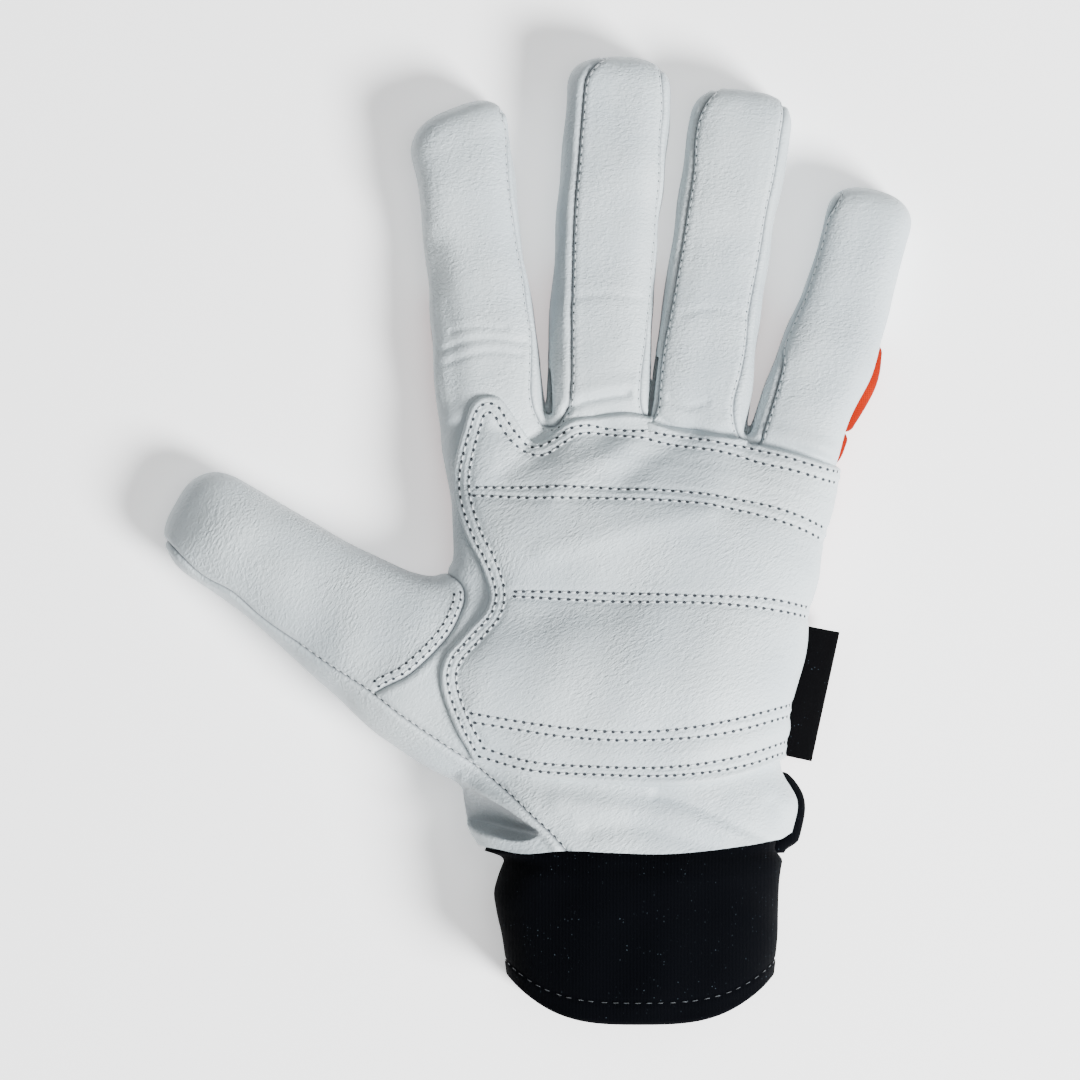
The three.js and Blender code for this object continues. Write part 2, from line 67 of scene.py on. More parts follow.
def read(table, column, share):
    """A table's column at a share of the length, straight between the fine curve's own points."""
    fine, curve = table[column]
    return np.interp(share, fine, curve)


def outline(along, left, right, thick):
    """Smooth columns for both edges and the thickness, over shares of a length."""
    return {
        "left": smooth_column(along, left),
        "right": smooth_column(along, right),
        "thick": smooth_column(along, thick),
    }


# Shares of a digit's length, with its edges as shares of half its width and its thickness as a share.
STRAIGHT = outline(
    along=[-0.2, 0.0, 0.25, 0.5, 0.75, 1.0],
    left=[0.8, 0.97, 1.0, 1.01, 1.0, 0.98],
    right=[0.8, 1.04, 0.98, 0.97, 1.02, 1.05],
    thick=[0.9, 1.04, 1.02, 0.98, 1.0, 0.96],
)
INDEX = outline(
    along=[-0.2, 0.0, 0.3, 0.55, 0.75, 0.9, 1.0],
    left=[0.85, 1.06, 1.02, 0.97, 0.95, 1.03, 1.06],
    right=[0.85, 1.07, 1.05, 1.0, 1.01, 1.02, 1.02],
    thick=[0.9, 1.04, 1.02, 0.98, 1.0, 0.97, 0.95],
)
LITTLE = outline(
    along=[-0.2, 0.0, 0.16, 0.35, 0.6, 0.8, 1.0],
    left=[0.9, 1.14, 1.13, 1.05, 0.94, 0.95, 0.99],
    right=[0.75, 0.96, 0.97, 1.16, 1.1, 1.03, 1.0],
    thick=[0.95, 1.1, 1.08, 1.04, 0.98, 1.0, 0.95],
)
THUMB = outline(
    along=[-0.62, -0.4, -0.18, 0.0, 0.1, 0.22, 0.36, 0.56, 0.78, 1.0],
    left=[1.15, 1.35, 1.48, 1.48, 1.42, 1.29, 1.18, 1.02, 0.94, 0.9],
    right=[1.1, 1.4, 1.56, 1.58, 1.5, 1.28, 1.16, 1.08, 1.02, 0.95],
    thick=[1.0, 1.22, 1.3, 1.3, 1.26, 1.2, 1.12, 1.04, 1.0, 0.94],
)
PALM = outline(
    along=[0.0, 0.05, 0.11, 0.19, 0.3, 0.45, 0.6, 0.75, 0.88, 1.0],
    left=[0.42, 0.455, 0.47, 0.472, 0.465, 0.482, 0.495, 0.5, 0.507, 0.525],
    right=[0.398, 0.41, 0.42, 0.378, 0.385, 0.417, 0.447, 0.484, 0.508, 0.525],
    thick=[1.08, 1.07, 1.05, 1.02, 1.02, 1.0, 0.95, 0.84, 0.71, 0.63],
)
DIGITS = {
    "index": dict(root=(-12.06, 31.85), lean=-6.8, length=85.0, width=26.4, thickness=21.0,
                  round=11.0, slant=6.0, table=INDEX),
    "middle": dict(root=(15.34, 31.85), lean=3.9, length=98.0, width=27.5, thickness=21.5,
                   round=10.0, slant=0.0, table=STRAIGHT),
    "ring": dict(root=(42.04, 29.82), lean=8.4, length=92.0, width=26.6, thickness=21.0,
                 round=9.0, slant=0.0, table=STRAIGHT),
    "little": dict(root=(68.64, 23.26), lean=17.7, length=74.0, width=23.0, thickness=19.5,
                   round=9.0, slant=0.0, table=LITTLE),
    "thumb": dict(root=(-29.76, -34.37), lean=-57.0, length=81.0, width=30.0, thickness=25.0,
                  round=13.0, slant=2.0, table=THUMB),
}
FINGERS = ["index", "middle", "ring", "little"]
PALM_MIDDLE = 27.04
PALM_WIDTH = 100.0
PALM_LENGTH = 113.0
PALM_THICKNESS = 35.0
WRIST = -82.62
KNUCKLE_DROP = 12.5
KNUCKLE_ROUND = 10.0
PRESSED_FLAT = 1.0
# Powers of the sections' superellipses: 2 is an ellipse, and a higher one is squarer.
ROUNDNESS = 2.5
FINGER_ROUNDNESS = 3.4


def digit_frame(digit, x, y):
    """Distance along a digit's axis from its root, and across it, positive on its right."""
    lean = np.radians(digit["lean"])
    dx, dy = x - digit["root"][0], y - digit["root"][1]
    return dx * np.sin(lean) + dy * np.cos(lean), dx * np.cos(lean) - dy * np.sin(lean)


def smooth_step(value, low, high):
    """3 t^2 - 2 t^3, where t goes from 0 at low to 1 at high."""
    t = np.clip((value - low) / (high - low), 0.0, 1.0)
    return t * t * (3.0 - 2.0 * t)


def rounded_distance(across, half_width, height, half_thick, cap, cap_size, power):
    """Distance to a capped superellipse: its radius in plan joins across and the cap by one power, and its
    whole radius joins that and the height by another, all in half sizes. (radius - 1) is divided by its
    own slope, which makes it a length."""
    a, h, c = (np.abs(v) + 1e-4 for v in (across / half_width, height / half_thick, cap))
    plan = (a**ROUNDNESS + c**ROUNDNESS) ** (1.0 / ROUNDNESS)
    radius = (plan**power + h**power) ** (1.0 / power)
    steep = ROUNDNESS - 1.0
    sideways = np.hypot((a / plan) ** steep / half_width, (c / plan) ** steep / cap_size)
    slope = np.hypot((plan / radius) ** (power - 1.0) * sideways, (h / radius) ** (power - 1.0) / half_thick)
    return np.clip((radius - 1.0) / slope, -30.0, 30.0)


def digit_distance(digit, x, y, z):
    """Superellipse section across the digit, closed by a rounded tip and faded out inside the palm."""
    along, across = digit_frame(digit, x, y)
    share = along / digit["length"]
    edge = np.where(across < 0, read(digit["table"], "left", share), read(digit["table"], "right", share))
    half_width = edge * digit["width"] / 2
    half_thick = read(digit["table"], "thick", share) * digit["thickness"] / 2
    cap_start = digit["length"] - digit["round"]
    tilt = digit["slant"] * smooth_step(along, cap_start - 2 * digit["round"], cap_start)
    tip = np.maximum(0.0, along - tilt * across / digit["width"] - cap_start) / digit["round"]
    first = -0.45 if digit is DIGITS["thumb"] else -0.12
    root = np.maximum(0.0, first * digit["length"] - along) / 12.0
    height = z - (half_thick - PRESSED_FLAT)
    power = ROUNDNESS if digit is DIGITS["thumb"] else FINGER_ROUNDNESS
    return rounded_distance(across, half_width, height, half_thick, tip + root, digit["round"], power)


def palm_distance(x, y, z):
    """Superellipse section across the palm, closed by the row of knuckles and open at the wrist."""
    up = (y - WRIST) / PALM_LENGTH
    across = x - PALM_MIDDLE
    edge = np.where(across < 0, read(PALM, "left", up), read(PALM, "right", up))
    half_width = edge * PALM_WIDTH
    half_thick = read(PALM, "thick", up) * PALM_THICKNESS / 2
    drop = KNUCKLE_DROP * (np.maximum(0.0, across) / (PALM_WIDTH / 2)) ** 2 * np.clip(up, 0, 1) ** 3
    cap_start = WRIST + 1.02 * PALM_LENGTH - KNUCKLE_ROUND
    knuckles = np.maximum(0.0, y + drop - cap_start) / KNUCKLE_ROUND
    height = z - (half_thick - PRESSED_FLAT)
    return rounded_distance(across, half_width, height, half_thick, knuckles, KNUCKLE_ROUND, ROUNDNESS)


def blend_min(a, b, reach):
    """Smaller of two distances, with a fillet where they are within reach of each other."""
    t = np.clip(0.5 + 0.5 * (b - a) / reach, 0.0, 1.0)
    return b + (a - b) * t - reach * t * (1.0 - t)


# The wrist's thumb side folds in under a ridge beside the seam, given by the ridge's two ends. The fold's
# floor drops steeply over a short reach and falls on at a gentle slope.
RIDGE_START = np.array([*at(465, 782), 25.2])
RIDGE_END = np.array([*at(544, 831), 34.2])
FOLD_DROP, FOLD_REACH, FOLD_SLOPE = 9.5, 3.0, 0.55

# The narrow gaps that go on between the fingers below their roots, as plan lines, with their half width.
FINGER_GAPS = [
    (at(547, 372), at(549, 412)),
    (at(656, 360), at(649, 416)),
    (at(754, 398), at(746, 432)),
]
GAP_HALF_WIDTH = 0.8
GAP_FLOOR = 8.6

# How far the fillets reach where the hand's forms meet, and where the fold, the gaps and the floor cut it.
# The thumb's is sharper round the corner where the thumb's side meets the wrist.
FINGER_FILLET = 5.0
THUMB_FILLET = 9.0
THUMB_CORNER = dict(middle=at(463, 790), reach=11.0, sharper=6.5)
FOLD_FILLET = 0.6
GAP_FILLET = 0.8
FLOOR_FILLET = 1.2

# The hand's broad hollows and swells: middle on the photograph, angle, half length, half width and depth.
FORMS = [
    dict(middle=at(560, 596), angle=-2.0, long=32.0, wide=14.0, depth=4.8),
    dict(middle=at(620, 508), angle=-4.0, long=42.0, wide=9.0, depth=-1.2),
    dict(middle=at(630, 440), angle=-6.0, long=32.0, wide=9.0, depth=2.2),
    dict(middle=at(640, 702), angle=0.0, long=40.0, wide=15.0, depth=-1.4),
    dict(middle=at(136, 498), angle=57.0, long=25.0, wide=20.0, depth=6.2),
    dict(middle=at(236, 472), angle=-33.0, long=26.0, wide=8.0, depth=3.0),
]


def form_depth(x, y):
    """Sum of bells in plan, each exp(-(along/long)^2 - (across/wide)^2) times its depth."""
    depth = 0.0
    for form in FORMS:
        turn = np.radians(form["angle"])
        dx, dy = x - form["middle"][0], y - form["middle"][1]
        along, across = dx * np.cos(turn) + dy * np.sin(turn), dy * np.cos(turn) - dx * np.sin(turn)
        depth = depth + form["depth"] * np.exp(-((along / form["long"]) ** 2) - (across / form["wide"]) ** 2)
    return depth


def fold_distance(x, y, z):
    """Half the height over the fold's floor, which falls from the ridge by drop (1 - exp(-d / reach)) +
    slope d at a plan distance d below it. It is held back before the ridge's start and by the leather's
    lower edge."""
    ridge = RIDGE_END - RIDGE_START
    length = np.hypot(*ridge[:2])
    dx, dy = x - RIDGE_START[0], y - RIDGE_START[1]
    run = (dx * ridge[0] + dy * ridge[1]) / length
    below = (dx * ridge[1] - dy * ridge[0]) / length
    drop = FOLD_DROP * (1.0 - np.exp(-np.maximum(below, 0.0) / FOLD_REACH)) + FOLD_SLOPE * below
    fall = np.where(below > 0, drop, 4.0 * below)
    past = 0.5 * (z - RIDGE_START[2] - ridge[2] * run / length + fall)
    return past - 9.0 * smooth_step(-run, 0.5, 6.0) - 7.0 * smooth_step(leather_edge(x) + 6.4 - y, 0.0, 4.4)


def gap_distance(x, y, z):
    """How deep a place lies in the gaps between the fingers: half width less the plan distance to a gap's
    line, and no lower than the gap's floor."""
    deepest = np.full(np.broadcast(x, y).shape, -30.0)
    for (ax, ay), (bx, by) in FINGER_GAPS:
        ex, ey = bx - ax, by - ay
        t = np.clip(((x - ax) * ex + (y - ay) * ey) / (ex * ex + ey * ey), 0.0, 1.0)
        deepest = np.maximum(deepest, GAP_HALF_WIDTH - np.hypot(x - ax - t * ex, y - ay - t * ey))
    return np.minimum(deepest, 0.5 * (z - GAP_FLOOR))


def thumb_fillet(x, y):
    """The thumb's fillet less a bell round its corner, exp(-(distance / reach)^2)."""
    corner_x, corner_y = THUMB_CORNER["middle"]
    near = ((x - corner_x) ** 2 + (y - corner_y) ** 2) / THUMB_CORNER["reach"] ** 2
    return THUMB_FILLET - THUMB_CORNER["sharper"] * np.exp(-near)


def hand_distance(x, y, z):
    """The palm filleted to the fingers and to the thumb, with its upper side lowered by the broad hollows,
    less the wrist's fold and the gaps between the fingers, and pressed flat where it lies on the floor."""
    floor_height = z
    z = z + form_depth(x, y) * smooth_step(z, 5.0, 20.0)
    fingers = np.full(np.shape(x), 30.0)
    for name in FINGERS:
        fingers = np.minimum(fingers, digit_distance(DIGITS[name], x, y, z))
    hand = blend_min(palm_distance(x, y, z), fingers, FINGER_FILLET)
    hand = blend_min(hand, digit_distance(DIGITS["thumb"], x, y, z), thumb_fillet(x, y))
    hand = -blend_min(-hand, -fold_distance(x, y, floor_height), FOLD_FILLET)
    hand = -blend_min(-hand, -gap_distance(x, y, floor_height), GAP_FILLET)
    return -blend_min(-hand, floor_height, FLOOR_FILLET)


def slope_of(x, y, z, step=0.15):
    """Gradient of the hand's distance by central differences, and its unit vector."""
    ahead = [hand_distance(x + a, y + b, z + c) for a, b, c in np.eye(3) * step]
    behind = [hand_distance(x - a, y - b, z - c) for a, b, c in np.eye(3) * step]
    slope = np.stack([(p - q) / (2 * step) for p, q in zip(ahead, behind)], axis=-1)
    return slope, slope / np.maximum(np.linalg.norm(slope, axis=-1, keepdims=True), 1e-9)


def level_surface(low, high, step):
    """Surface nets: the hand's distance on a grid of points, one vertex in each cell that the skin crosses,
    at the mean of its edges' crossings, and one quad round each edge that it crosses."""
    axes = [np.arange(low[a], high[a] + step, step) for a in range(3)]
    grid = hand_distance(*np.meshgrid(*axes, indexing="ij", sparse=True))
    shape = np.array(grid.shape)
    strides = np.array([shape[1] * shape[2], shape[2], 1])
    cell_lists, place_lists, quads = [], [], []
    for a in range(3):
        b, c = (a + 1) % 3, (a + 2) % 3
        first = np.take(grid, range(shape[a] - 1), axis=a)
        second = np.take(grid, range(1, shape[a]), axis=a)
        index = np.stack(np.nonzero((first < 0) != (second < 0)), axis=-1)
        here, there = first[tuple(index.T)], second[tuple(index.T)]
        place = index.astype(float)
        place[:, a] += here / (here - there)
        cells = []
        for db, dc in [(-1, -1), (0, -1), (0, 0), (-1, 0)]:
            cell = index.copy()
            cell[:, b] += db
            cell[:, c] += dc
            cells.append(cell @ strides)
        cells = np.stack(cells, axis=-1)
        quads.append(np.where((here < 0)[:, None], cells, cells[:, ::-1]))
        cell_lists.append(cells.ravel())
        place_lists.append(np.repeat(place, 4, axis=0))
    used, which = np.unique(np.concatenate(cell_lists), return_inverse=True)
    places = np.concatenate(place_lists)
    count = np.bincount(which)
    points = np.stack([np.bincount(which, places[:, a]) / count for a in range(3)], axis=-1)
    points = points * step + np.array([axis[0] for axis in axes])
    quads = np.searchsorted(used, np.concatenate(quads))
    for _ in range(3):
        value = hand_distance(*points.T)
        slope, _unit = slope_of(*points.T)
        size = np.maximum((slope**2).sum(axis=-1), 0.2)
        points -= np.clip(value / size, -0.5, 0.5)[:, None] * slope
    corners = points[quads]
    short = np.linalg.norm(corners[:, 0] - corners[:, 2], axis=-1) <= np.linalg.norm(
        corners[:, 1] - corners[:, 3], axis=-1
    )
    one = np.where(short[:, None], quads[:, [0, 1, 2]], quads[:, [0, 1, 3]])
    two = np.where(short[:, None], quads[:, [0, 2, 3]], quads[:, [1, 2, 3]])
    return points, np.concatenate([one, two])


def smooth_line(points):
    """Cubic curve through plan points, worked out over the length of the straight lines between them."""
    points = np.array(points, float)
    reach = np.concatenate([[0.0], np.cumsum(np.hypot(*np.diff(points, axis=0).T))])
    count = max(3, int(reach[-1] / 1.2))
    return np.stack([smooth_column(reach, points[:, a], count)[1] for a in range(2)], axis=-1)


def photo_line(*pixels):
    """Smooth line through points measured on the photograph."""
    return smooth_line([at(px, py) for px, py in pixels])


def near_line(x, y, line, reach=1e6):
    """Plan distance to a line of straight steps, and the unit direction from its nearest point. Places more
    than reach outside the line's own box get a distance of 1000."""
    near = (x > line[:, 0].min() - reach) & (x < line[:, 0].max() + reach)
    near &= (y > line[:, 1].min() - reach) & (y < line[:, 1].max() + reach)
    px, py = x[near], y[near]
    best = np.full(px.shape, 1e6)
    away = np.zeros((2,) + px.shape)
    for (ax, ay), (bx, by) in zip(line[:-1], line[1:]):
        ex, ey = bx - ax, by - ay
        t = np.clip(((px - ax) * ex + (py - ay) * ey) / (ex * ex + ey * ey), 0.0, 1.0)
        ox, oy = px - ax - t * ex, py - ay - t * ey
        far = ox * ox + oy * oy
        closer = far < best
        best = np.where(closer, far, best)
        away = np.where(closer, (ox, oy), away)
    distance = np.full(np.shape(x), 1e3)
    distance[near] = np.sqrt(best)
    direction = np.zeros(np.shape(x) + (2,))
    direction[near] = (away / np.maximum(np.sqrt(best), 1e-6)).T
    return distance, direction


def inside_loop(x, y, loop):
    """Even-odd rule: the loop's edges that lie to the right of the place, at its height, are counted."""
    odd = np.zeros(np.shape(x), bool)
    for (ax, ay), (bx, by) in zip(loop, np.roll(loop, -1, axis=0)):
        if ay != by:
            odd ^= ((ay > y) != (by > y)) & (x < ax + (y - ay) * (bx - ax) / (by - ay))
    return odd


def loop_level(x, y, loop):
    """Plan distance to a closed loop, positive inside it."""
    distance, _direction = near_line(x, y, np.concatenate([loop, loop[:1]]), 8.0)
    return np.where(inside_loop(x, y, loop), distance, -distance)


def cut_out(skin, name, source, level_of):
    """Cuts the faces of the source pieces along the zero line of a level, with a new point on each crossed
    edge by the shares of its two ends' levels, and names the positive side. A point within 0.05 mm of the
    line counts as on it."""
    points, faces, names = skin
    level = level_of(*points.T)
    side = np.where(np.abs(level) < 0.05, 0.0, np.sign(level)).astype(int)
    corner = side[faces]
    chosen = np.isin(names, source)
    crossed = chosen & (corner.min(axis=1) < 0) & (corner.max(axis=1) > 0)
    split, split_side = faces[crossed], corner[crossed]
    on_line = (split_side == 0).any(axis=1)
    lone = split_side == -split_side.sum(axis=1, keepdims=True)
    first = np.where(on_line, np.argmax(split_side == 0, axis=1), np.argmax(lone, axis=1))
    turned = np.take_along_axis(split, (first[:, None] + np.arange(3)) % 3, axis=1)
    a, b, c = turned.T
    edges = np.concatenate([
        np.stack([b, c], axis=-1)[on_line],
        np.stack([a, b], axis=-1)[~on_line],
        np.stack([a, c], axis=-1)[~on_line],
    ])
    edges.sort(axis=1)
    keys = edges[:, 0] * len(points) + edges[:, 1]
    _keys, firsts, which = np.unique(keys, return_index=True, return_inverse=True)
    low, high = edges[firsts].T
    share = np.abs(level[low]) / (np.abs(level[low]) + np.abs(level[high]))
    added = points[low] + (points[high] - points[low]) * share[:, None]
    fresh = len(points) + which
    ones, twos = on_line.sum(), (~on_line).sum()
    m = fresh[:ones]
    n, p = fresh[ones:ones + twos], fresh[ones + twos:]
    a, b, c = turned[on_line].T
    pieces = [(a, b, m), (a, m, c)]
    a, b, c = turned[~on_line].T
    pieces += [(a, n, p), (n, b, c), (n, c, p)]
    split_names = names[crossed]
    owners = [split_names[on_line]] * 2 + [split_names[~on_line]] * 3
    faces = np.concatenate([faces[~crossed]] + [np.stack(piece, axis=-1) for piece in pieces])
    names = np.concatenate([names[~crossed]] + owners)
    side = np.concatenate([side, np.zeros(len(added), int)])
    positive = (side[faces].sum(axis=1) > 0) & np.isin(names, source)
    return np.concatenate([points, added]), faces, np.where(positive, name, names)


# Seams, as lines in plan: the strips between the fingers, the thumb's outer and base seams, the back of the
# thumb and the lower edge of the leather.
def finger_edge(name, side, first, last, inset, count=8):
    """Plan places just inside a finger's own edge, from one distance along it to another."""
    digit = DIGITS[name]
    along = np.linspace(first, last, count)
    half = read(digit["table"], side, along / digit["length"]) * digit["width"] / 2 - inset
    across = -half if side == "left" else half
    lean = np.radians(digit["lean"])
    x = digit["root"][0] + along * np.sin(lean) + across * np.cos(lean)
    y = digit["root"][1] + along * np.cos(lean) - across * np.sin(lean)
    return list(zip(x, y))


WEB_SEAMS = {
    "fourchette_index_middle": photo_line(
        (503, 106), (503, 118), (507, 127), (509, 159), (512, 197), (518, 239), (523, 274), (528, 311),
        (532, 338), (533, 373), (533, 398), (537, 414), (544, 425), (552, 426), (562, 418), (568, 405),
        (570, 386), (570, 348), (570, 311), (571, 274), (573, 224), (577, 162), (580, 125), (582, 100),
        (586, 80), (595, 67), (604, 59), (605, 50),
    ),
    "fourchette_middle_ring": photo_line(
        (658, 64), (661, 75), (663, 95), (661, 150), (659, 199), (654, 261), (652, 299), (649, 324),
        (644, 360), (641, 385), (641, 404), (644, 416), (650, 422), (655, 412), (657, 390), (661, 355),
        (667, 320), (673, 285), (681, 240), (687, 204), (691, 167), (693, 140), (698, 117), (706, 102),
        (715, 92), (720, 84),
    ),
    "fourchette_ring_little": smooth_line([at(px, py) for px, py in (
        (780, 92), (782, 104), (783, 114), (780, 137), (776, 167), (769, 204), (762, 239), (756, 274),
        (749, 309), (746, 344), (739, 378), (733, 404), (734, 423), (739, 436), (748, 445), (757, 441),
        (764, 423), (769, 406), (775, 385), (780, 366),
    )] + finger_edge("little", "left", 26.0, 62.0, 0.35) + [at(837, 199), at(840, 188)]),
}
THUMB_OUTER_SEAM = photo_line(
    (158, 534), (171, 545), (179, 553), (204, 577), (233, 593), (257, 613), (280, 630), (318, 656),
    (349, 676), (376, 694), (400, 713), (433, 736), (462, 755), (491, 777), (512, 794), (530, 811),
    (555, 835), (575, 862), (580, 880),
)
THUMB_BASE_SEAM = photo_line(
    (350, 706), (375, 692), (387, 685), (407, 675), (422, 663), (437, 648), (451, 631), (461, 611),
    (465, 597), (463, 586), (456, 578), (447, 572), (440, 565),
)
THUMB_BACK_SEAM = smooth_line([
    (-70.0, 22.0), (-43.0, 2.1), (-23.0, -12.6), (-3.0, -43.0), (10.0, -73.6), (12.0, -95.0),
])
LEATHER_EDGE = photo_line(
    (440, 835), (485, 843), (520, 850), (563, 847), (620, 849), (653, 850), (721, 845), (768, 838),
    (792, 835), (850, 832),
)


def closed_through(line, *corners):
    """A line closed into a loop by way of further corners, given on the photograph."""
    return np.concatenate([line, np.array([at(px, py) for px, py in corners])])


WEB_LOOPS = {
    "fourchette_index_middle": closed_through(WEB_SEAMS["fourchette_index_middle"], (560, 40), (520, 80)),
    "fourchette_middle_ring": closed_through(WEB_SEAMS["fourchette_middle_ring"], (700, 60), (680, 55)),
    "fourchette_ring_little": closed_through(WEB_SEAMS["fourchette_ring_little"], (820, 120), (800, 85)),
}
THUMB_STRIP_LOOP = closed_through(THUMB_OUTER_SEAM, (560, 930), (420, 930), (120, 720), (130, 560))
THUMB_FRONT_LOOP = closed_through(
    THUMB_BASE_SEAM, (440, 500), (250, 430), (120, 440), (120, 620), (300, 730)
)
THUMB_BACK_LOOP = closed_through(THUMB_BACK_SEAM, (60, 900), (60, 440))

# Heights of the seams at the hand's sides, the wrist panel's reach up from the leather's edge and up its
# side, and where each finger's guard starts and ends along it.
SIDE_SEAM_HEIGHT = 9.0
FINGER_SEAM_HEIGHT = 7.0
PANEL_LENGTH = 19.5
PANEL_END_HEIGHT = 16.5
GUARD_START = {"index": 3.0, "middle": 3.0, "ring": 3.0, "little": 9.5}
GUARD_END = {"index": 35.7, "middle": 41.2, "ring": 38.6, "little": 35.0}


def panel_end(x, y, z):
    """Positive on the panel's end, which comes up the outer side of the wrist."""
    return np.minimum(np.minimum(PANEL_END_HEIGHT - z, leather_edge(x) + PANEL_LENGTH - y), x - 58.0)


def panel_overhang(x):
    """How much further down than the leather the panel's two ends reach."""
    return 4.2 * smooth_step(x, 56.0, 63.0) + 2.0 * smooth_step(-x, 4.0, 10.0)


def corner_rise(x):
    """How much the leather's outer lower corner is rounded up from its edge."""
    return 3.4 * smooth_step(x, 64.0, 70.5) ** 2


def leather_edge(x):
    """The height on the photograph of the leather's lower edge, above which all leather lies."""
    return np.interp(x, *LEATHER_EDGE.T)


def web_seam_height(x, y):
    """The seam between leather strip and back fabric runs lower where a gap between two fingers closes."""
    height = np.full(np.shape(x), FINGER_SEAM_HEIGHT)
    for start, end in FINGER_GAPS:
        distance, _direction = near_line(x, y, np.array([start, (start + end) / 2]), 12.0)
        height -= 5.0 * np.exp(-((distance / 3.0) ** 2))
    return height


def finger_level(name, start):
    """Positive past a distance along one finger, where no other finger is nearer."""
    def level(x, y, z):
        along, _across = digit_frame(DIGITS[name], x, y)
        own = digit_distance(DIGITS[name], x, y, z)
        others = [digit_distance(DIGITS[other], x, y, z) for other in FINGERS if other != name]
        return np.minimum(along - start, np.min(others, axis=0) - own)
    return level


skin_step = 0.6
hand_points, hand_faces = level_surface((-102.0, -96.0, -1.3), (102.0, 131.5, 38.5), skin_step)
skin = (hand_points, hand_faces, np.full(len(hand_faces), "palm_leather", dtype="U32"))
skin = cut_out(skin, "wrist_panel", ["palm_leather"], panel_end)
skin = cut_out(skin, "past_wrist", ["palm_leather"], lambda x, y, z: leather_edge(x) + corner_rise(x) - y)
skin = cut_out(skin, "past_wrist", ["wrist_panel"], lambda x, y, z: leather_edge(x) - panel_overhang(x) - y)
for web, loop in WEB_LOOPS.items():
    skin = cut_out(skin, web, ["palm_leather"], lambda x, y, z: loop_level(x, y, loop))
skin = cut_out(skin, "thumb_back", ["palm_leather"], lambda x, y, z: loop_level(x, y, THUMB_STRIP_LOOP))
skin = cut_out(skin, "back_fabric", list(WEB_LOOPS), lambda x, y, z: web_seam_height(x, y) - z)
skin = cut_out(skin, "back_fabric", ["palm_leather"], lambda x, y, z: SIDE_SEAM_HEIGHT - z)
skin = cut_out(skin, "thumb_front", ["palm_leather"], lambda x, y, z: loop_level(x, y, THUMB_FRONT_LOOP))
skin = cut_out(skin, "thumb_back", ["back_fabric"], lambda x, y, z: loop_level(x, y, THUMB_BACK_LOOP))
skin = cut_out(skin, "wrist_panel", ["back_fabric"], lambda x, y, z: leather_edge(x) + PANEL_LENGTH - y)
for finger in FINGERS:
    guard, tip = "finger_guard_" + finger, "finger_back_" + finger
    skin = cut_out(skin, guard, ["back_fabric"], finger_level(finger, GUARD_START[finger]))
    skin = cut_out(skin, tip, [guard], finger_level(finger, GUARD_END[finger]))
skin_points, skin_faces, skin_names = skin


# The leather's relief: valleys at the seams with soft shoulders beside them, the folds that the photograph
# shows, and the slight unevenness of a stuffed skin. It moves the skin along its own normals.

# Folds on the palm side: points on the photograph, depth (negative is a ridge) and half width in mm.
FOLDS = [
    dict(line=[(566, 411), (580, 404), (599, 399), (626, 395)], depth=1.2, width=1.1),
    dict(line=[(575, 396), (599, 389), (634, 385)], depth=-0.45, width=2.2),
    dict(line=[(660, 421), (671, 427), (690, 431), (730, 435)], depth=1.3, width=1.1),
    dict(line=[(664, 412), (690, 419), (722, 424)], depth=-0.5, width=2.2),
    dict(line=[(668, 400), (685, 408), (705, 404)], depth=0.4, width=0.9),
    dict(line=[(752, 443), (770, 446), (789, 449), (835, 464)], depth=1.2, width=1.1),
    dict(line=[(765, 432), (790, 437), (830, 449)], depth=-0.45, width=2.0),
    dict(line=[(440, 352), (465, 343), (495, 340), (524, 344)], depth=0.5, width=1.0),
    dict(line=[(443, 365), (468, 357), (500, 353), (520, 356)], depth=0.4, width=0.9),
    dict(line=[(450, 333), (475, 328), (505, 330)], depth=0.35, width=0.9),
    dict(line=[(446, 430), (470, 425), (500, 432), (528, 440)], depth=0.5, width=2.0),
    dict(line=[(526, 446), (540, 437), (558, 430)], depth=1.5, width=2.4),
    dict(line=[(464, 776), (490, 792), (515, 805), (540, 824), (556, 843)], depth=-0.9, width=1.4),
    dict(line=[(560, 800), (620, 806), (690, 822), (760, 842)], depth=-0.8, width=3.2),
    dict(line=[(590, 825), (650, 822), (700, 836), (730, 844)], depth=0.9, width=3.0),
    dict(line=[(655, 790), (700, 805), (745, 828), (772, 841)], depth=0.8, width=1.8),
    dict(line=[(772, 800), (782, 815), (784, 832)], depth=0.8, width=2.2),
    dict(line=[(470, 762), (520, 778), (600, 789), (690, 791)], depth=0.3, width=2.6),
    dict(line=[(574, 300), (600, 296), (640, 300)], depth=0.3, width=1.2),
    dict(line=[(684, 315), (710, 310), (745, 318)], depth=0.3, width=1.2),
    dict(line=[(480, 640), (462, 668), (460, 700)], depth=0.3, width=3.0),
    dict(line=[(556, 494), (610, 458), (650, 428)], depth=-0.9, width=3.6),
    dict(line=[(508, 472), (560, 448), (600, 432)], depth=0.8, width=3.6),
    dict(line=[(622, 482), (660, 454), (692, 434)], depth=0.8, width=3.4),
    dict(line=[(548, 550), (630, 530), (705, 514)], depth=-0.8, width=3.6),
    dict(line=[(433, 250), (440, 300), (449, 350), (450, 400)], depth=1.6, width=4.5),
]
for fold in FOLDS:
    fold["line"] = photo_line(*fold["line"])

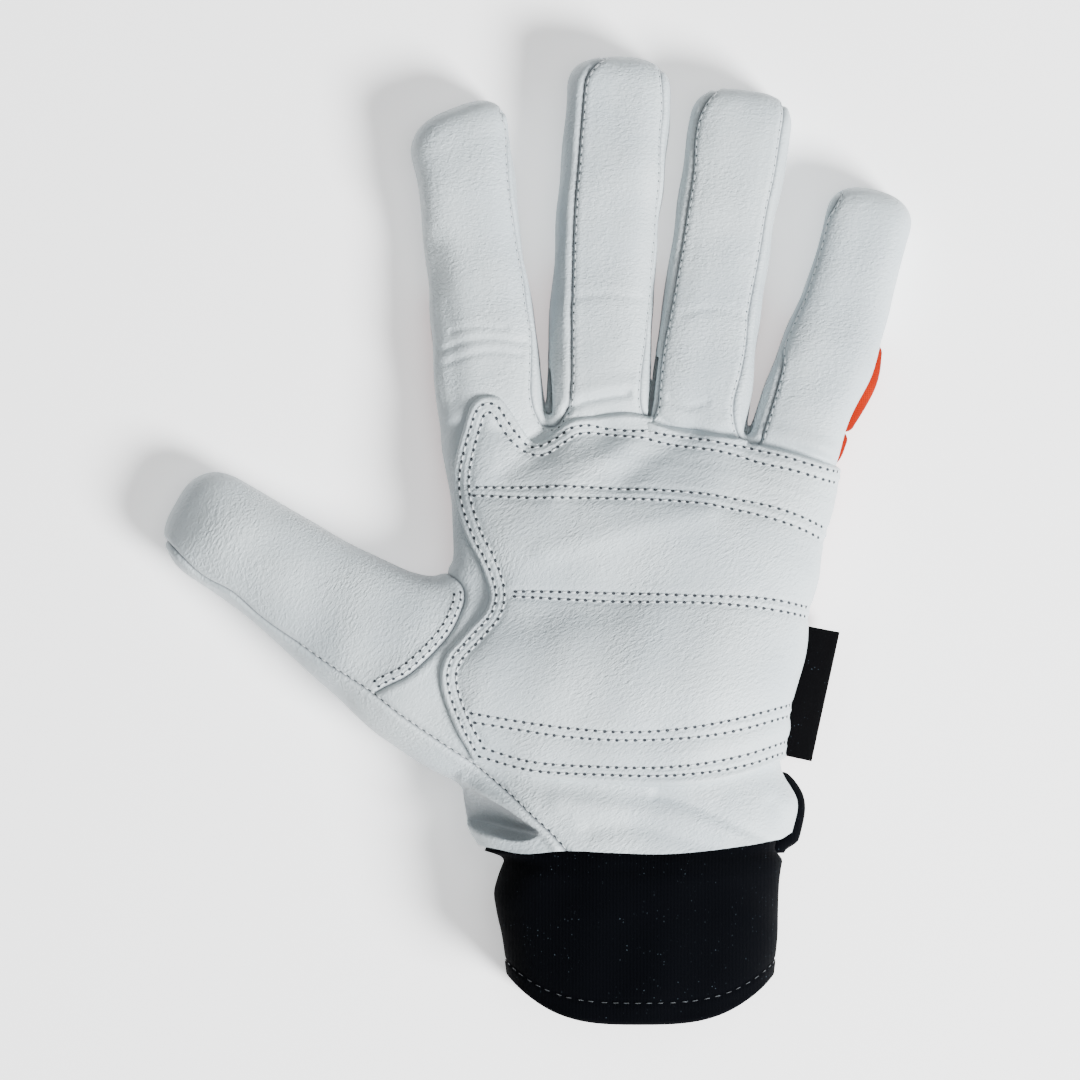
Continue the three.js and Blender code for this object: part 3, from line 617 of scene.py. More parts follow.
BACK_LINES = [
    THUMB_BACK_SEAM,
    np.stack([LEATHER_EDGE[:, 0], LEATHER_EDGE[:, 1] + PANEL_LENGTH], axis=-1),
]
WAVES = np.random.default_rng(11)
WAVE_COUNT = 22
WAVE_WAY = WAVES.normal(size=(WAVE_COUNT, 3))
WAVE_WAY /= np.linalg.norm(WAVE_WAY, axis=1, keepdims=True)
WAVE_LENGTH = WAVES.uniform(12.0, 36.0, WAVE_COUNT)
WAVE_PHASE = WAVES.uniform(0.0, 2.0 * np.pi, WAVE_COUNT)
WAVE_HEIGHT = 0.05

# Depth and reach of the valley at a seam, and the height, place and reach of the shoulder beside it.
VALLEY_DEPTH, VALLEY_REACH = 0.75, 0.6
SHOULDER_HEIGHT, SHOULDER_PLACE, SHOULDER_REACH = 0.22, 1.7, 1.1


def along_skin(distance, direction, normal, height):
    """A plan distance becomes one along the skin: divided by the share of it that the skin's slope leaves,
    and joined with how far the place is out of the seam's own range of heights."""
    lean = (direction * normal[..., :2]).sum(axis=-1)
    return np.hypot(distance / np.sqrt(np.maximum(1.0 - lean**2, 0.04)), height)


def seam_distance(x, y, z, normal):
    """Distance along the skin to the nearest seam."""
    flat = np.sqrt(np.maximum(1.0 - normal[..., 2] ** 2, 0.04))
    between = np.zeros(np.shape(x), bool)
    nearest = np.full(np.shape(x), 1e3)
    for web, line in WEB_SEAMS.items():
        between |= inside_loop(x, y, WEB_LOOPS[web])
        distance, direction = near_line(x, y, line, 6.0)
        nearest = np.minimum(
            nearest, along_skin(distance, direction, normal, np.maximum(0.0, web_seam_height(x, y) - z))
        )
    strip = inside_loop(x, y, THUMB_STRIP_LOOP)
    seam_height = np.where(between, web_seam_height(x, y), SIDE_SEAM_HEIGHT)
    end = panel_end(x, y, z)
    nearest = np.minimum(nearest, np.where(strip | (end > 0), 1e3, np.abs(z - seam_height) / flat))
    nearest = np.minimum(nearest, np.where(z > SIDE_SEAM_HEIGHT, np.abs(end), 1e3))
    distance, direction = near_line(x, y, THUMB_OUTER_SEAM, 6.0)
    nearest = np.minimum(nearest, along_skin(distance, direction, normal, 0.0))
    distance, direction = near_line(x, y, THUMB_BASE_SEAM[4:], 6.0)
    above = np.maximum(0.0, SIDE_SEAM_HEIGHT - z) + np.where(strip, 5.0, 0.0)
    nearest = np.minimum(nearest, along_skin(distance, direction, normal, above))
    for line in BACK_LINES:
        distance, direction = near_line(x, y, line, 6.0)
        below = np.maximum(0.0, z - SIDE_SEAM_HEIGHT)
        nearest = np.minimum(nearest, along_skin(distance, direction, normal, below))
    own = [digit_distance(DIGITS[name], x, y, z) for name in FINGERS]
    for index, name in enumerate(FINGERS):
        along, _across = digit_frame(DIGITS[name], x, y)
        far = np.where(own[index] <= np.min(own, axis=0) + 0.01, 0.0, 1e3)
        far += np.maximum(0.0, z - seam_height)
        for start in (GUARD_START[name], GUARD_END[name]):
            nearest = np.minimum(nearest, np.hypot(along - start, far))
    return nearest


def relief(x, y, z, normal):
    """Height along the normal: minus a sharp valley at each seam, plus a low shoulder beside it, minus a
    bell-shaped groove at each fold, plus a sum of slow seeded waves. Also gives the distance to the seam."""
    seam = seam_distance(x, y, z, normal)
    height = -VALLEY_DEPTH * np.exp(-seam / VALLEY_REACH)
    height = height + SHOULDER_HEIGHT * np.exp(-(((seam - SHOULDER_PLACE) / SHOULDER_REACH) ** 2))
    top = smooth_step(normal[..., 2], 0.0, 0.5)
    for fold in FOLDS:
        distance, _direction = near_line(x, y, fold["line"], max(8.0, 2.6 * fold["width"]))
        height -= top * fold["depth"] * np.exp(-((distance / fold["width"]) ** 2))
    place = np.stack([x, y, z], axis=-1)
    turns = place @ (WAVE_WAY / WAVE_LENGTH[:, None]).T * 2.0 * np.pi + WAVE_PHASE
    return height + WAVE_HEIGHT * np.sin(turns).sum(axis=-1), seam


skin_normals = slope_of(*skin_points.T)[1]
skin_relief, skin_seams = relief(*skin_points.T, skin_normals)


# Leather pieces: the palm with the fronts of the fingers, the thumb's front and back, the strips between the
# fingers and the backs of the fingertips. White grain leather 1.4 mm thick, sewn with its edges turned in.

TURNED_IN = 1.5


def make_mesh(name, places, faces, facts=None):
    """A mesh object at the origin from places in millimetres and faces of equal size, with named numbers
    for its points."""
    mesh = bpy.data.meshes.new(name)
    mesh.vertices.add(len(places))
    mesh.vertices.foreach_set("co", (np.asarray(places) * MM).astype(np.float32).ravel())
    sides = faces.shape[1]
    mesh.loops.add(faces.size)
    mesh.loops.foreach_set("vertex_index", faces.astype(np.int32).ravel())
    mesh.polygons.add(len(faces))
    mesh.polygons.foreach_set("loop_start", np.arange(len(faces), dtype=np.int32) * sides)
    mesh.polygons.foreach_set("loop_total", np.full(len(faces), sides, dtype=np.int32))
    mesh.polygons.foreach_set("use_smooth", np.full(len(faces), True))
    for fact, values in (facts or {}).items():
        layer = mesh.attributes.new(fact, "FLOAT", "POINT")
        layer.data.foreach_set("value", np.asarray(values, dtype=np.float32))
    mesh.update(calc_edges=True)
    piece = bpy.data.objects.new(name, mesh)
    bpy.context.collection.objects.link(piece)
    return piece


def skin_piece(name, places, normals, faces, facts):
    """The used points of a skin, plus a strip that turns in at every open edge: the edge's two points and
    the same two moved back along their normals. The strip has points of its own, so the edge stays crisp."""
    used, faces = np.unique(faces, return_inverse=True)
    faces = faces.reshape(-1, 3)
    places, normals = places[used], normals[used]
    facts = {fact: values[used] for fact, values in facts.items()}
    count = len(places)
    half_edges = np.concatenate([faces[:, [0, 1]], faces[:, [1, 2]], faces[:, [2, 0]]])
    forward = half_edges[:, 0] * count + half_edges[:, 1]
    backward = half_edges[:, 1] * count + half_edges[:, 0]
    open_edges = half_edges[~np.isin(forward, backward)]
    rim, which = np.unique(open_edges, return_inverse=True)
    start, end = which.reshape(-1, 2).T
    top, low = count, count + len(rim)
    strip = np.concatenate([
        np.stack([top + end, top + start, low + start], axis=-1),
        np.stack([top + end, low + start, low + end], axis=-1),
    ])
    lowered = places[rim] - TURNED_IN * normals[rim]
    lowered[:, 2] = np.maximum(lowered[:, 2], 0.0)
    places = np.concatenate([places, places[rim], lowered])
    facts = {fact: np.concatenate([v, v[rim], v[rim]]) for fact, v in facts.items()}
    return make_mesh(name, places, np.concatenate([faces, strip]), facts)


def settled(places):
    """Nothing lies lower than the floor."""
    return np.stack([places[:, 0], places[:, 1], np.maximum(places[:, 2], 0.0)], axis=-1)


def plain_material(name, colour, roughness, **sockets):
    """A material whose shader's own sockets hold its even values."""
    material = bpy.data.materials.new(name)
    material.use_nodes = True
    shader = material.node_tree.nodes["Principled BSDF"]
    shader.inputs["Base Color"].default_value = (*colour, 1.0)
    shader.inputs["Roughness"].default_value = roughness
    for socket, value in sockets.items():
        shader.inputs[socket.replace("_", " ")].default_value = value
    return material


def add_node(material, kind, inputs=None, **settings):
    """A node with its settings; inputs are numbers, vectors or other nodes' outputs, by socket name or
    number."""
    made = material.node_tree.nodes.new(kind)
    for setting, value in settings.items():
        setattr(made, setting, value)
    for socket, value in (inputs or {}).items():
        if isinstance(value, bpy.types.NodeSocket):
            material.node_tree.links.new(value, made.inputs[socket])
        else:
            made.inputs[socket].default_value = value
    return made


def in_millimetres(material, angle=0.0, stretch=(1.0, 1.0, 1.0)):
    """Object coordinates turned by an angle about the upright axis and scaled to millimetres, with a stretch
    of the pattern along each axis."""
    place = add_node(material, "ShaderNodeTexCoord")
    turned = add_node(material, "ShaderNodeMapping", {
        "Vector": place.outputs["Object"], "Rotation": (0.0, 0.0, -np.radians(angle)),
    })
    return add_node(material, "ShaderNodeMapping", {
        "Vector": turned.outputs["Vector"],
        "Scale": tuple(1000.0 / share for share in stretch),
    }).outputs["Vector"]


def noise(material, vector, size, detail=2.0, roughness=0.5, distortion=0.0):
    """Noise whose lumps are about one size in millimetres."""
    return add_node(material, "ShaderNodeTexNoise", {
        "Vector": vector, "Scale": 1.0 / size, "Detail": detail, "Roughness": roughness,
        "Distortion": distortion,
    }).outputs["Fac"]


def blend(material, share, one, two):
    """One at a share of 0, two at a share of 1."""
    return add_node(material, "ShaderNodeMix", {0: share, 2: one, 3: two}).outputs[0]


def colour_base(material, share, one, two):
    """The shader's base colour goes from one to two with the share."""
    made = add_node(material, "ShaderNodeMix", {0: share, 6: one, 7: two}, data_type="RGBA")
    shader = material.node_tree.nodes["Principled BSDF"]
    material.node_tree.links.new(made.outputs[2], shader.inputs["Base Color"])
    return made.outputs[2]


def ramp(material, value, low, high):
    """Goes from 0 to 1 while the value goes from low to high."""
    return add_node(material, "ShaderNodeMapRange", {
        "Value": value, "From Min": low, "From Max": high,
    }, interpolation_type="SMOOTHSTEP").outputs["Result"]


def calculate(material, operation, one, two):
    """Two values joined by one sum, product or comparison."""
    return add_node(material, "ShaderNodeMath", {0: one, 1: two}, operation=operation).outputs["Value"]


def bumped(material, height, distance):
    """Small relief in the shader's normal: the height's range of 1 stands for the distance."""
    bump = add_node(material, "ShaderNodeBump", {"Height": height, "Distance": distance * MM})
    shader = material.node_tree.nodes["Principled BSDF"]
    material.node_tree.links.new(bump.outputs["Normal"], shader.inputs["Normal"])


def grained_leather(name, pale, deep, crease):
    """White full-grain leather: long fine creases that run across each digit and aslant over the palm, a
    pebbled grain between them, slow changes of tone, and painted shade that darkens the seams' valleys and
    the wrist's fold."""
    sheen = dict(Sheen_Weight=0.12, Sheen_Roughness=0.5)
    leather = plain_material(name, pale, 0.5, Specular_IOR_Level=0.38, **sheen)
    palm_way = noise(leather, in_millimetres(leather, 31.0, (2.1, 1.0, 1.0)), 0.72, 1.5, 0.5, 0.4)
    finger_way = noise(leather, in_millimetres(leather, -4.0, (1.7, 1.0, 1.0)), 0.7, 1.5, 0.5, 0.5)
    thumb_way = noise(leather, in_millimetres(leather, 60.0, (1.8, 1.0, 1.0)), 0.72, 1.5, 0.5, 0.4)
    finger = add_node(leather, "ShaderNodeAttribute", attribute_name="finger").outputs["Fac"]
    thumb = add_node(leather, "ShaderNodeAttribute", attribute_name="thumb").outputs["Fac"]
    seam = add_node(leather, "ShaderNodeAttribute", attribute_name="seam").outputs["Fac"]
    creases = blend(leather, thumb, blend(leather, finger, palm_way, finger_way), thumb_way)
    plain = in_millimetres(leather)
    patches = ramp(leather, noise(leather, plain, 16.0, 2.0), 0.36, 0.62)
    pebbles = noise(leather, plain, 0.5, 2.0, 0.6)
    creases = calculate(leather, "MULTIPLY", creases, blend(leather, patches, 0.55, 1.0))
    height = calculate(leather, "ADD", creases, calculate(leather, "MULTIPLY", pebbles, 0.35))
    bumped(leather, height, crease)
    tone = ramp(leather, noise(leather, plain, 30.0, 3.0), 0.3, 0.7)
    base = colour_base(leather, tone, (*deep, 1.0), (*pale, 1.0))
    # Painted shade: near a seam, and in the wrist's fold that the seam attribute carries, the colour goes
    # most of the way to a dark grey-blue.
    painted_seam_and_fold_shade = calculate(leather, "MULTIPLY", ramp(leather, seam, 0.55, 0.0), 0.75)
    colour_base(leather, painted_seam_and_fold_shade, base, (0.09, 0.1, 0.115, 1.0))
    roughness = leather.node_tree.nodes["Principled BSDF"].inputs["Roughness"]
    leather.node_tree.links.new(blend(leather, pebbles, 0.42, 0.6), roughness)
    return leather


white_leather = grained_leather("white_leather", (0.5, 0.56, 0.58), (0.43, 0.495, 0.53), 0.36)


def grain_ways(x, y):
    """Shares that say which way the creases run: past a finger's root, and past the thumb's base."""
    finger = np.zeros(np.shape(x))
    for name in FINGERS:
        along, across = digit_frame(DIGITS[name], x, y)
        finger = np.maximum(finger, smooth_step(along, -8.0, 12.0) * (np.abs(across) < 22.0))
    along, across = digit_frame(DIGITS["thumb"], x, y)
    thumb = smooth_step(along + 0.35 * across, -14.0, 8.0) * (np.abs(across) < 40.0)
    return {"finger": finger * (1.0 - thumb), "thumb": thumb}


# Painted shade in the wrist's fold, laid on as at the seams: on it, a point counts as 0.21 mm from a seam.
fold_painted_shade = smooth_step(fold_distance(*skin_points.T), -0.5, -0.05)
seam_distance_with_fold_shade = np.minimum(skin_seams, 0.55 - 0.34 * fold_painted_shade)
skin_facts = {"seam": seam_distance_with_fold_shade, **grain_ways(skin_points[:, 0], skin_points[:, 1])}
leather_places = settled(skin_points + skin_normals * skin_relief[:, None])
LEATHER_PIECES = ["palm_leather", "thumb_front", "thumb_back"]
LEATHER_PIECES += list(WEB_SEAMS) + ["finger_back_" + name for name in FINGERS]
for name in LEATHER_PIECES:
    chosen = skin_faces[skin_names == name]
    piece = skin_piece(name + "_skin", leather_places, skin_normals, chosen, skin_facts)
    piece.data.materials.append(white_leather)
    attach(piece, "root")
    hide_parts(name)


def height_over(x, y):
    """Height of the hand's palm side over a plan place, by halving the interval that holds it."""
    low, high = np.full(np.shape(x), SIDE_SEAM_HEIGHT), np.full(np.shape(x), 40.0)
    for _ in range(26):
        middle = (low + high) / 2
        under = hand_distance(x, y, middle) < 0
        low, high = np.where(under, middle, low), np.where(under, high, middle)
    return low


def on_skin(x, y, rise_of=None):
    """Places on the finished leather over plan places: the hand's height, then the relief and whatever lies
    on it along the normal."""
    z = height_over(x, y)
    normal = slope_of(x, y, z)[1]
    rise = relief(x, y, z, normal)[0]
    if rise_of is not None:
        rise = rise + rise_of(x, y)
    return np.stack([x, y, z], axis=-1) + normal * rise[..., None]


def beside(line, offset):
    """The line moved sideways in plan, to the left of its own direction."""
    way = unit(np.gradient(line, axis=0))
    return line + offset * np.stack([-way[:, 1], way[:, 0]], axis=-1)


def ball(length, width, height, around=8, rings=5):
    """A rounded bead: rings of a sphere stretched to half sizes along, across and up, closed at its ends."""
    turn = np.arange(around) * 2 * np.pi / around
    reach = np.cos(np.pi * (np.arange(rings) + 1) / (rings + 1))[:, None]
    size = np.sqrt(1.0 - reach**2)
    body = np.stack([
        (reach + 0 * turn) * length, np.cos(turn) * size * width, np.sin(turn) * size * height,
    ], axis=-1).reshape(-1, 3)
    places = np.concatenate([body, [[length, 0, 0], [-length, 0, 0]]])
    r, c = np.meshgrid(np.arange(rings - 1), np.arange(around), indexing="ij")
    n = (c + 1) % around
    one = np.stack([r * around + c, (r + 1) * around + c, r * around + n], axis=-1).reshape(-1, 3)
    two = np.stack([(r + 1) * around + c, (r + 1) * around + n, r * around + n], axis=-1).reshape(-1, 3)
    c = np.arange(around)
    n = (c + 1) % around
    tip = np.stack([c, n, np.full(around, rings * around)], axis=-1)
    last = (rings - 1) * around
    tail = np.stack([last + n, last + c, np.full(around, rings * around + 1)], axis=-1)
    return places, np.concatenate([one, two, tip, tail])[:, ::-1]


def disc(length, width, around=8):
    """A flat oval with a slightly sunk middle."""
    turn = np.arange(around) * 2 * np.pi / around
    rim = np.stack([np.cos(turn) * length, np.sin(turn) * width, 0 * turn], axis=-1)
    c = np.arange(around)
    faces = np.stack([c, (c + 1) % around, np.full(around, around)], axis=-1)
    return np.concatenate([rim, [[0, 0, -0.05]]]), faces


def repeated(template, centre, along, up):
    """Copies of a template, one at each centre, with its x on along and its z on up."""
    places, faces = template
    across = unit(np.cross(up, along))
    up = np.cross(along, across)
    turned = centre[:, None] + sum(
        places[None, :, a, None] * axis[:, None] for a, axis in enumerate((along, across, up))
    )
    shift = np.arange(len(centre))[:, None, None] * len(places)
    return turned.reshape(-1, 3), (faces[None] + shift).reshape(-1, 3)


def mottled(material, dark, pale, size, depth):
    """Twisted thread, or the painted shade of a needle hole: fine noise goes from the dark to the pale
    colour and lifts the surface."""
    speckle = noise(material, in_millimetres(material), size, 2.0, 0.6)
    colour_base(material, ramp(material, speckle, 0.3, 0.7), (*dark, 1.0), (*pale, 1.0))
    bumped(material, speckle, depth)


def unit(vectors):
    """Each vector divided by its own length."""
    return vectors / np.linalg.norm(vectors, axis=-1, keepdims=True)


def run_along(line):
    """The length of a line's steps up to each of its points."""
    return np.concatenate([[0.0], np.cumsum(np.linalg.norm(np.diff(line, axis=0), axis=1))])


def read_rows(stops, run, values):
    """Rows of numbers at stops along a line, straight between the line's points."""
    return np.stack([np.interp(stops, run, column) for column in values.T], axis=-1)


SEWING = np.random.default_rng(5)
stitch_thread = plain_material("stitch_thread", (0.62, 0.66, 0.68), 0.55, Sheen_Weight=0.2)
mottled(stitch_thread, (0.5, 0.54, 0.56), (0.68, 0.72, 0.74), 0.22, 0.05)
# Needle holes are flat dark discs: painted shade where the holes are.
needle_hole_shade = plain_material("needle_hole_shade", (0.03, 0.034, 0.04), 0.9, Specular_IOR_Level=0.1)
mottled(needle_hole_shade, (0.018, 0.021, 0.026), (0.06, 0.066, 0.075), 0.3, 0.03)


def sew(name, lines, pitch, hole, thread, rise_of=None, lowest=10.5):
    """A lockstitch along plan lines: flat dark discs of painted shade for the needle holes at an even pitch
    along the skin, and between each two a short thread that lies on the leather and dips into the holes.
    hole and thread are half sizes in mm."""
    hole_sets, thread_sets = [], []
    for line in lines:
        reach = run_along(line)
        plan = read_rows(np.arange(0.0, reach[-1], 0.3), reach, line)
        path = on_skin(*plan.T, rise_of)
        run = run_along(path)
        stops = np.arange(pitch / 2, run[-1], pitch)
        stops = stops + SEWING.uniform(-0.07, 0.07, len(stops)) * pitch
        across = on_skin(*beside(plan, 0.35).T, rise_of) - on_skin(*beside(plan, -0.35).T, rise_of)
        along = np.gradient(path, axis=0)
        between = (stops[:-1] + stops[1:]) / 2
        for sets, places, lift in ((hole_sets, stops, 0.07), (thread_sets, between, 0.05)):
            centre, way, cross = (read_rows(places, run, values) for values in (path, along, across))
            way = unit(way)
            up = unit(np.cross(way, cross))
            seen = (centre[:, 2] > lowest) & (up[:, 2] > 0.25)
            seen &= centre[:, 1] > leather_edge(centre[:, 0]) + 0.8
            sets.append((centre[seen] + lift * up[seen], way[seen], up[seen]))
    holes = repeated(disc(*hole), *(np.concatenate(part) for part in zip(*hole_sets)))
    threads = repeated(ball(*thread), *(np.concatenate(part) for part in zip(*thread_sets)))
    places = np.concatenate([threads[0], holes[0]])
    faces = np.concatenate([threads[1], holes[1] + len(threads[0])])
    stitches = make_mesh(name, places, faces)
    stitches.data.materials.append(stitch_thread)
    stitches.data.materials.append(needle_hole_shade)
    kinds = np.repeat([0, 1], [len(threads[1]), len(holes[1])]).astype(np.int32)
    stitches.data.polygons.foreach_set("material_index", kinds)
    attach(stitches, "root")


sew("finger_stitches", [beside(line, -0.9) for line in WEB_SEAMS.values()], 2.35,
    (0.27, 0.19), (0.8, 0.16, 0.1))
sew("thumb_side_stitches", [beside(THUMB_OUTER_SEAM, 0.35)], 2.3, (0.5, 0.26), (0.7, 0.18, 0.14))
sew("thumb_base_stitches", [beside(THUMB_BASE_SEAM[7:-7], offset) for offset in (0.95, 2.7)], 2.45,
    (0.5, 0.39), (0.7, 0.24, 0.17))


# Orange back fabric with the padded guards over the first finger joints, and the black panel round the back
# of the wrist. The padding stands proud of the leather between the seams that hold it.

GUARD_SWELL = 2.9
FABRIC_SWELL = 1.0
PANEL_SWELL = 3.8
PANEL_TAPER = 2.8


def hump(value, low, high, power=0.6):
    """Rises from 0 at low to 1 and falls back to 0 at high, as a bow that is squarer for a lower power."""
    share = np.clip((value - low) / (high - low), 0.0, 1.0)
    return (4.0 * share * (1.0 - share)) ** power


def swelling(name, x, y, z, normal):
    """How far the padding stands out: a bow between the piece's ends, on the underside and on the outer side
    of the hand, faded out at the side seam."""
    under = smooth_step(-normal[:, 2], 0.5, 0.9)
    if name == "wrist_panel":
        fade = np.clip((PANEL_END_HEIGHT - z) / 5.0, 0.0, 1.0) ** 0.5
        side = smooth_step(x - PALM_MIDDLE, 22.0, 34.0)
        bow = hump(y, leather_edge(x) - 7.0, leather_edge(x) + PANEL_LENGTH - 2.2, 0.3)
        return side * (fade * PANEL_SWELL * bow - PANEL_TAPER * smooth_step(leather_edge(x) - y, 0.0, 4.2))
    fade = np.clip((SIDE_SEAM_HEIGHT - z) / 3.5, 0.0, 1.0) ** 0.6
    if name == "back_fabric":
        outer = hump(y, 21.0, 31.0) * smooth_step(x, 60.0, 70.0)
        edge = leather_edge(x) + PANEL_LENGTH
        return fade * (FABRIC_SWELL * under * smooth_step(y, edge, edge + 6.0) + 1.6 * outer)
    finger = name.removeprefix("finger_guard_")
    along, across = digit_frame(DIGITS[finger], x, y)
    if finger == "little":
        under = np.maximum(under, smooth_step(across, 0.0, 6.0))
    share = (along - GUARD_START[finger]) / (GUARD_END[finger] - GUARD_START[finger])
    return fade * under * GUARD_SWELL * hump(np.clip(share, 0.0, 1.0) ** 0.75, 0.0, 1.0)


orange_fabric = plain_material("orange_fabric", (0.27, 0.012, 0.0006), 0.85, Specular_IOR_Level=0.04)
warp, weft = (
    add_node(orange_fabric, "ShaderNodeTexWave", {
        "Vector": in_millimetres(orange_fabric), "Scale": 0.55, "Distortion": 0.3,
    }, bands_direction=direction).outputs["Fac"]
    for direction in "XY"
)
weave = calculate(orange_fabric, "MAXIMUM", warp, weft)
bumped(orange_fabric, weave, 0.12)
faded = ramp(orange_fabric, noise(orange_fabric, in_millimetres(orange_fabric), 22.0, 3.0), 0.3, 0.7)
worn = calculate(orange_fabric, "MULTIPLY", weave, faded)
colour_base(orange_fabric, worn, (0.2, 0.007, 0.0003, 1.0), (0.31, 0.015, 0.0007, 1.0))


def black_cloth(name, rib, colour):
    """Black knit: ribs of one width, small loops across them and grey lint caught in it."""
    knit = plain_material(name, colour, 0.9, Sheen_Weight=0.01, Sheen_Roughness=0.5, Specular_IOR_Level=0.02)
    place = in_millimetres(knit)
    ribs = add_node(knit, "ShaderNodeTexWave", {
        "Vector": place, "Scale": 0.5 / rib, "Distortion": 0.6, "Detail": 1.0,
    }, bands_direction="X").outputs["Fac"]
    loops = add_node(knit, "ShaderNodeTexWave", {
        "Vector": place, "Scale": 0.9 / rib, "Distortion": 0.6,
    }, bands_direction="Y").outputs["Fac"]
    bumped(knit, calculate(knit, "ADD", ribs, calculate(knit, "MULTIPLY", loops, 0.5)), 0.09)
    specks = add_node(knit, "ShaderNodeTexVoronoi", {"Vector": place, "Scale": 1.1})
    patch = ramp(knit, noise(knit, place, 9.0, 3.0), 0.42, 0.66)
    picked = add_node(knit, "ShaderNodeSeparateColor", {0: specks.outputs["Color"]}).outputs[0]
    lint = calculate(knit, "MULTIPLY", ramp(knit, specks.outputs["Distance"], 0.2, 0.05), patch)
    lint = calculate(knit, "MULTIPLY", lint, ramp(knit, picked, 0.5, 1.0))
    colour_base(knit, lint, (*colour, 1.0), (0.06, 0.085, 0.105, 1.0))
    return knit


black_knit = black_cloth("black_knit", 0.6, (0.0011, 0.0014, 0.0023))
for name in ["back_fabric", "wrist_panel"] + ["finger_guard_" + finger for finger in FINGERS]:
    chosen = skin_faces[skin_names == name]
    swell = swelling(name, *skin_points.T, skin_normals)
    places = settled(leather_places + skin_normals * swell[:, None])
    piece = skin_piece(name + "_cloth", places, skin_normals, chosen, {"seam": skin_seams})
    piece.data.materials.append(black_knit if name == "wrist_panel" else orange_fabric)
    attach(piece, "root")
    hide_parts(name)


# Palm pad: a second layer of the same leather with a thin foam behind it, its edge folded under, quilted to
# the palm by double rows of stitches.

PAD_THICKNESS = 1.9
PAD_EDGE_ROUND, PAD_EDGE_SINK = 1.3, 0.35
PAD_SWELL, PAD_SWELL_REACH = 0.8, 6.0
ROW_HALF_WIDTH = 0.4
ROW_DEPTH, ROW_REACH = 0.27, 0.8
PAD_EDGE = photo_line(
    (474, 757), (471, 751), (460, 733), (451, 715), (445, 700), (441, 683), (441, 668), (446, 654),
    (457, 641), (472, 625), (483, 614), (488, 604), (489, 594), (487, 583), (479, 560), (470, 543),
    (462, 520), (457, 500), (455, 478), (457, 455), (461, 436), (466, 418), (473, 403), (481, 397),
    (489, 396), (499, 398), (508, 408), (517, 421), (524, 432), (537, 441), (547, 437), (557, 429),
    (572, 420), (593, 417), (640, 415), (656, 423), (700, 431), (757, 444), (800, 455), (834, 466),
    (870, 474),
)
PAD_FOOT = photo_line(
    (865, 720), (835, 735), (784, 755), (772, 762), (726, 778), (674, 784), (604, 781), (524, 772),
    (478, 759),
)
PAD_LOOP = np.concatenate([PAD_EDGE, np.array([at(930, 480), at(930, 715)]), PAD_FOOT])

# Cross rows, as the upper and lower line of each pair. The first pair carries on the rows along the edge.
TOP_ROWS = [
    [(607, 430), (648, 435), (700, 441), (743, 451), (776, 457), (806, 465), (834, 472)],
    [(606, 436), (640, 441), (675, 447), (719, 454), (754, 464), (796, 473), (831, 483)],
]
CROSS_ROWS = [
    [(476, 489), (540, 490), (600, 491), (666, 494), (723, 500), (769, 509), (799, 519), (829, 534)],
    [(474, 497), (540, 500), (600, 501), (673, 504), (729, 511), (774, 522), (804, 533), (828, 547)],
    [(512, 592), (550, 592), (591, 593), (698, 596), (772, 600), (812, 609)],
    [(511, 597), (550, 599), (613, 602), (720, 604), (772, 610), (811, 618)],
    [(468, 710), (520, 719), (573, 726), (640, 729), (726, 718), (792, 700)],
    [(472, 719), (520, 727), (552, 732), (634, 737), (726, 729), (791, 711)],
    [(482, 743), (521, 756), (604, 764), (680, 763), (741, 752), (789, 735)],
    [(478, 751), (527, 766), (604, 772), (680, 772), (741, 763), (788, 746)],
]


def edge_row(inset, top_row):
    """The pad's left and upper edge moved in, without the places where that brings it too near the edge,
    and joined to the cross row that carries it on."""
    line = beside(PAD_EDGE, -inset)
    clear = near_line(*line.T, PAD_LOOP)[0] > inset - 0.15
    clear &= inside_loop(*line.T, PAD_LOOP)
    clear &= (line[:, 0] < at(600, 0)[0]) | (line[:, 1] < at(0, 520)[1])
    return smooth_line(np.concatenate([line[clear][::4], np.array([at(*p) for p in top_row])]))


PAD_ROW_LINES = [edge_row(2.2, TOP_ROWS[0]), edge_row(4.5, TOP_ROWS[1])]
PAD_ROW_LINES += [photo_line(*row) for row in CROSS_ROWS]


def row_distance(x, y):
    """Plan distance to the nearest row of stitches."""
    nearest = np.full(np.shape(x), 1e3)
    for line in PAD_ROW_LINES:
        nearest = np.minimum(nearest, near_line(x, y, line, 25.0)[0])
    return nearest


def pad_rise(x, y):
    """The pad's height over the skin: a quarter circle up from its folded edge, a slow swell between the
    rows and a narrow valley at each row."""
    inset = near_line(x, y, PAD_LOOP, 60.0)[0]
    inset = np.where(inside_loop(x, y, PAD_LOOP), inset, 0.0)
    share = np.clip(inset / PAD_EDGE_ROUND, 0.0, 1.0)
    round_up = np.sqrt(np.maximum(1.0 - (1.0 - share) ** 2, 0.0))
    rows = np.maximum(row_distance(x, y) - ROW_HALF_WIDTH, 0.0)
    swell = PAD_SWELL * (1.0 - np.exp(-((rows / PAD_SWELL_REACH) ** 1.5)))
    valley = ROW_DEPTH * np.exp(-((rows / ROW_REACH) ** 2))
    return (PAD_THICKNESS + swell) * round_up - valley * share - PAD_EDGE_SINK * (1.0 - share)


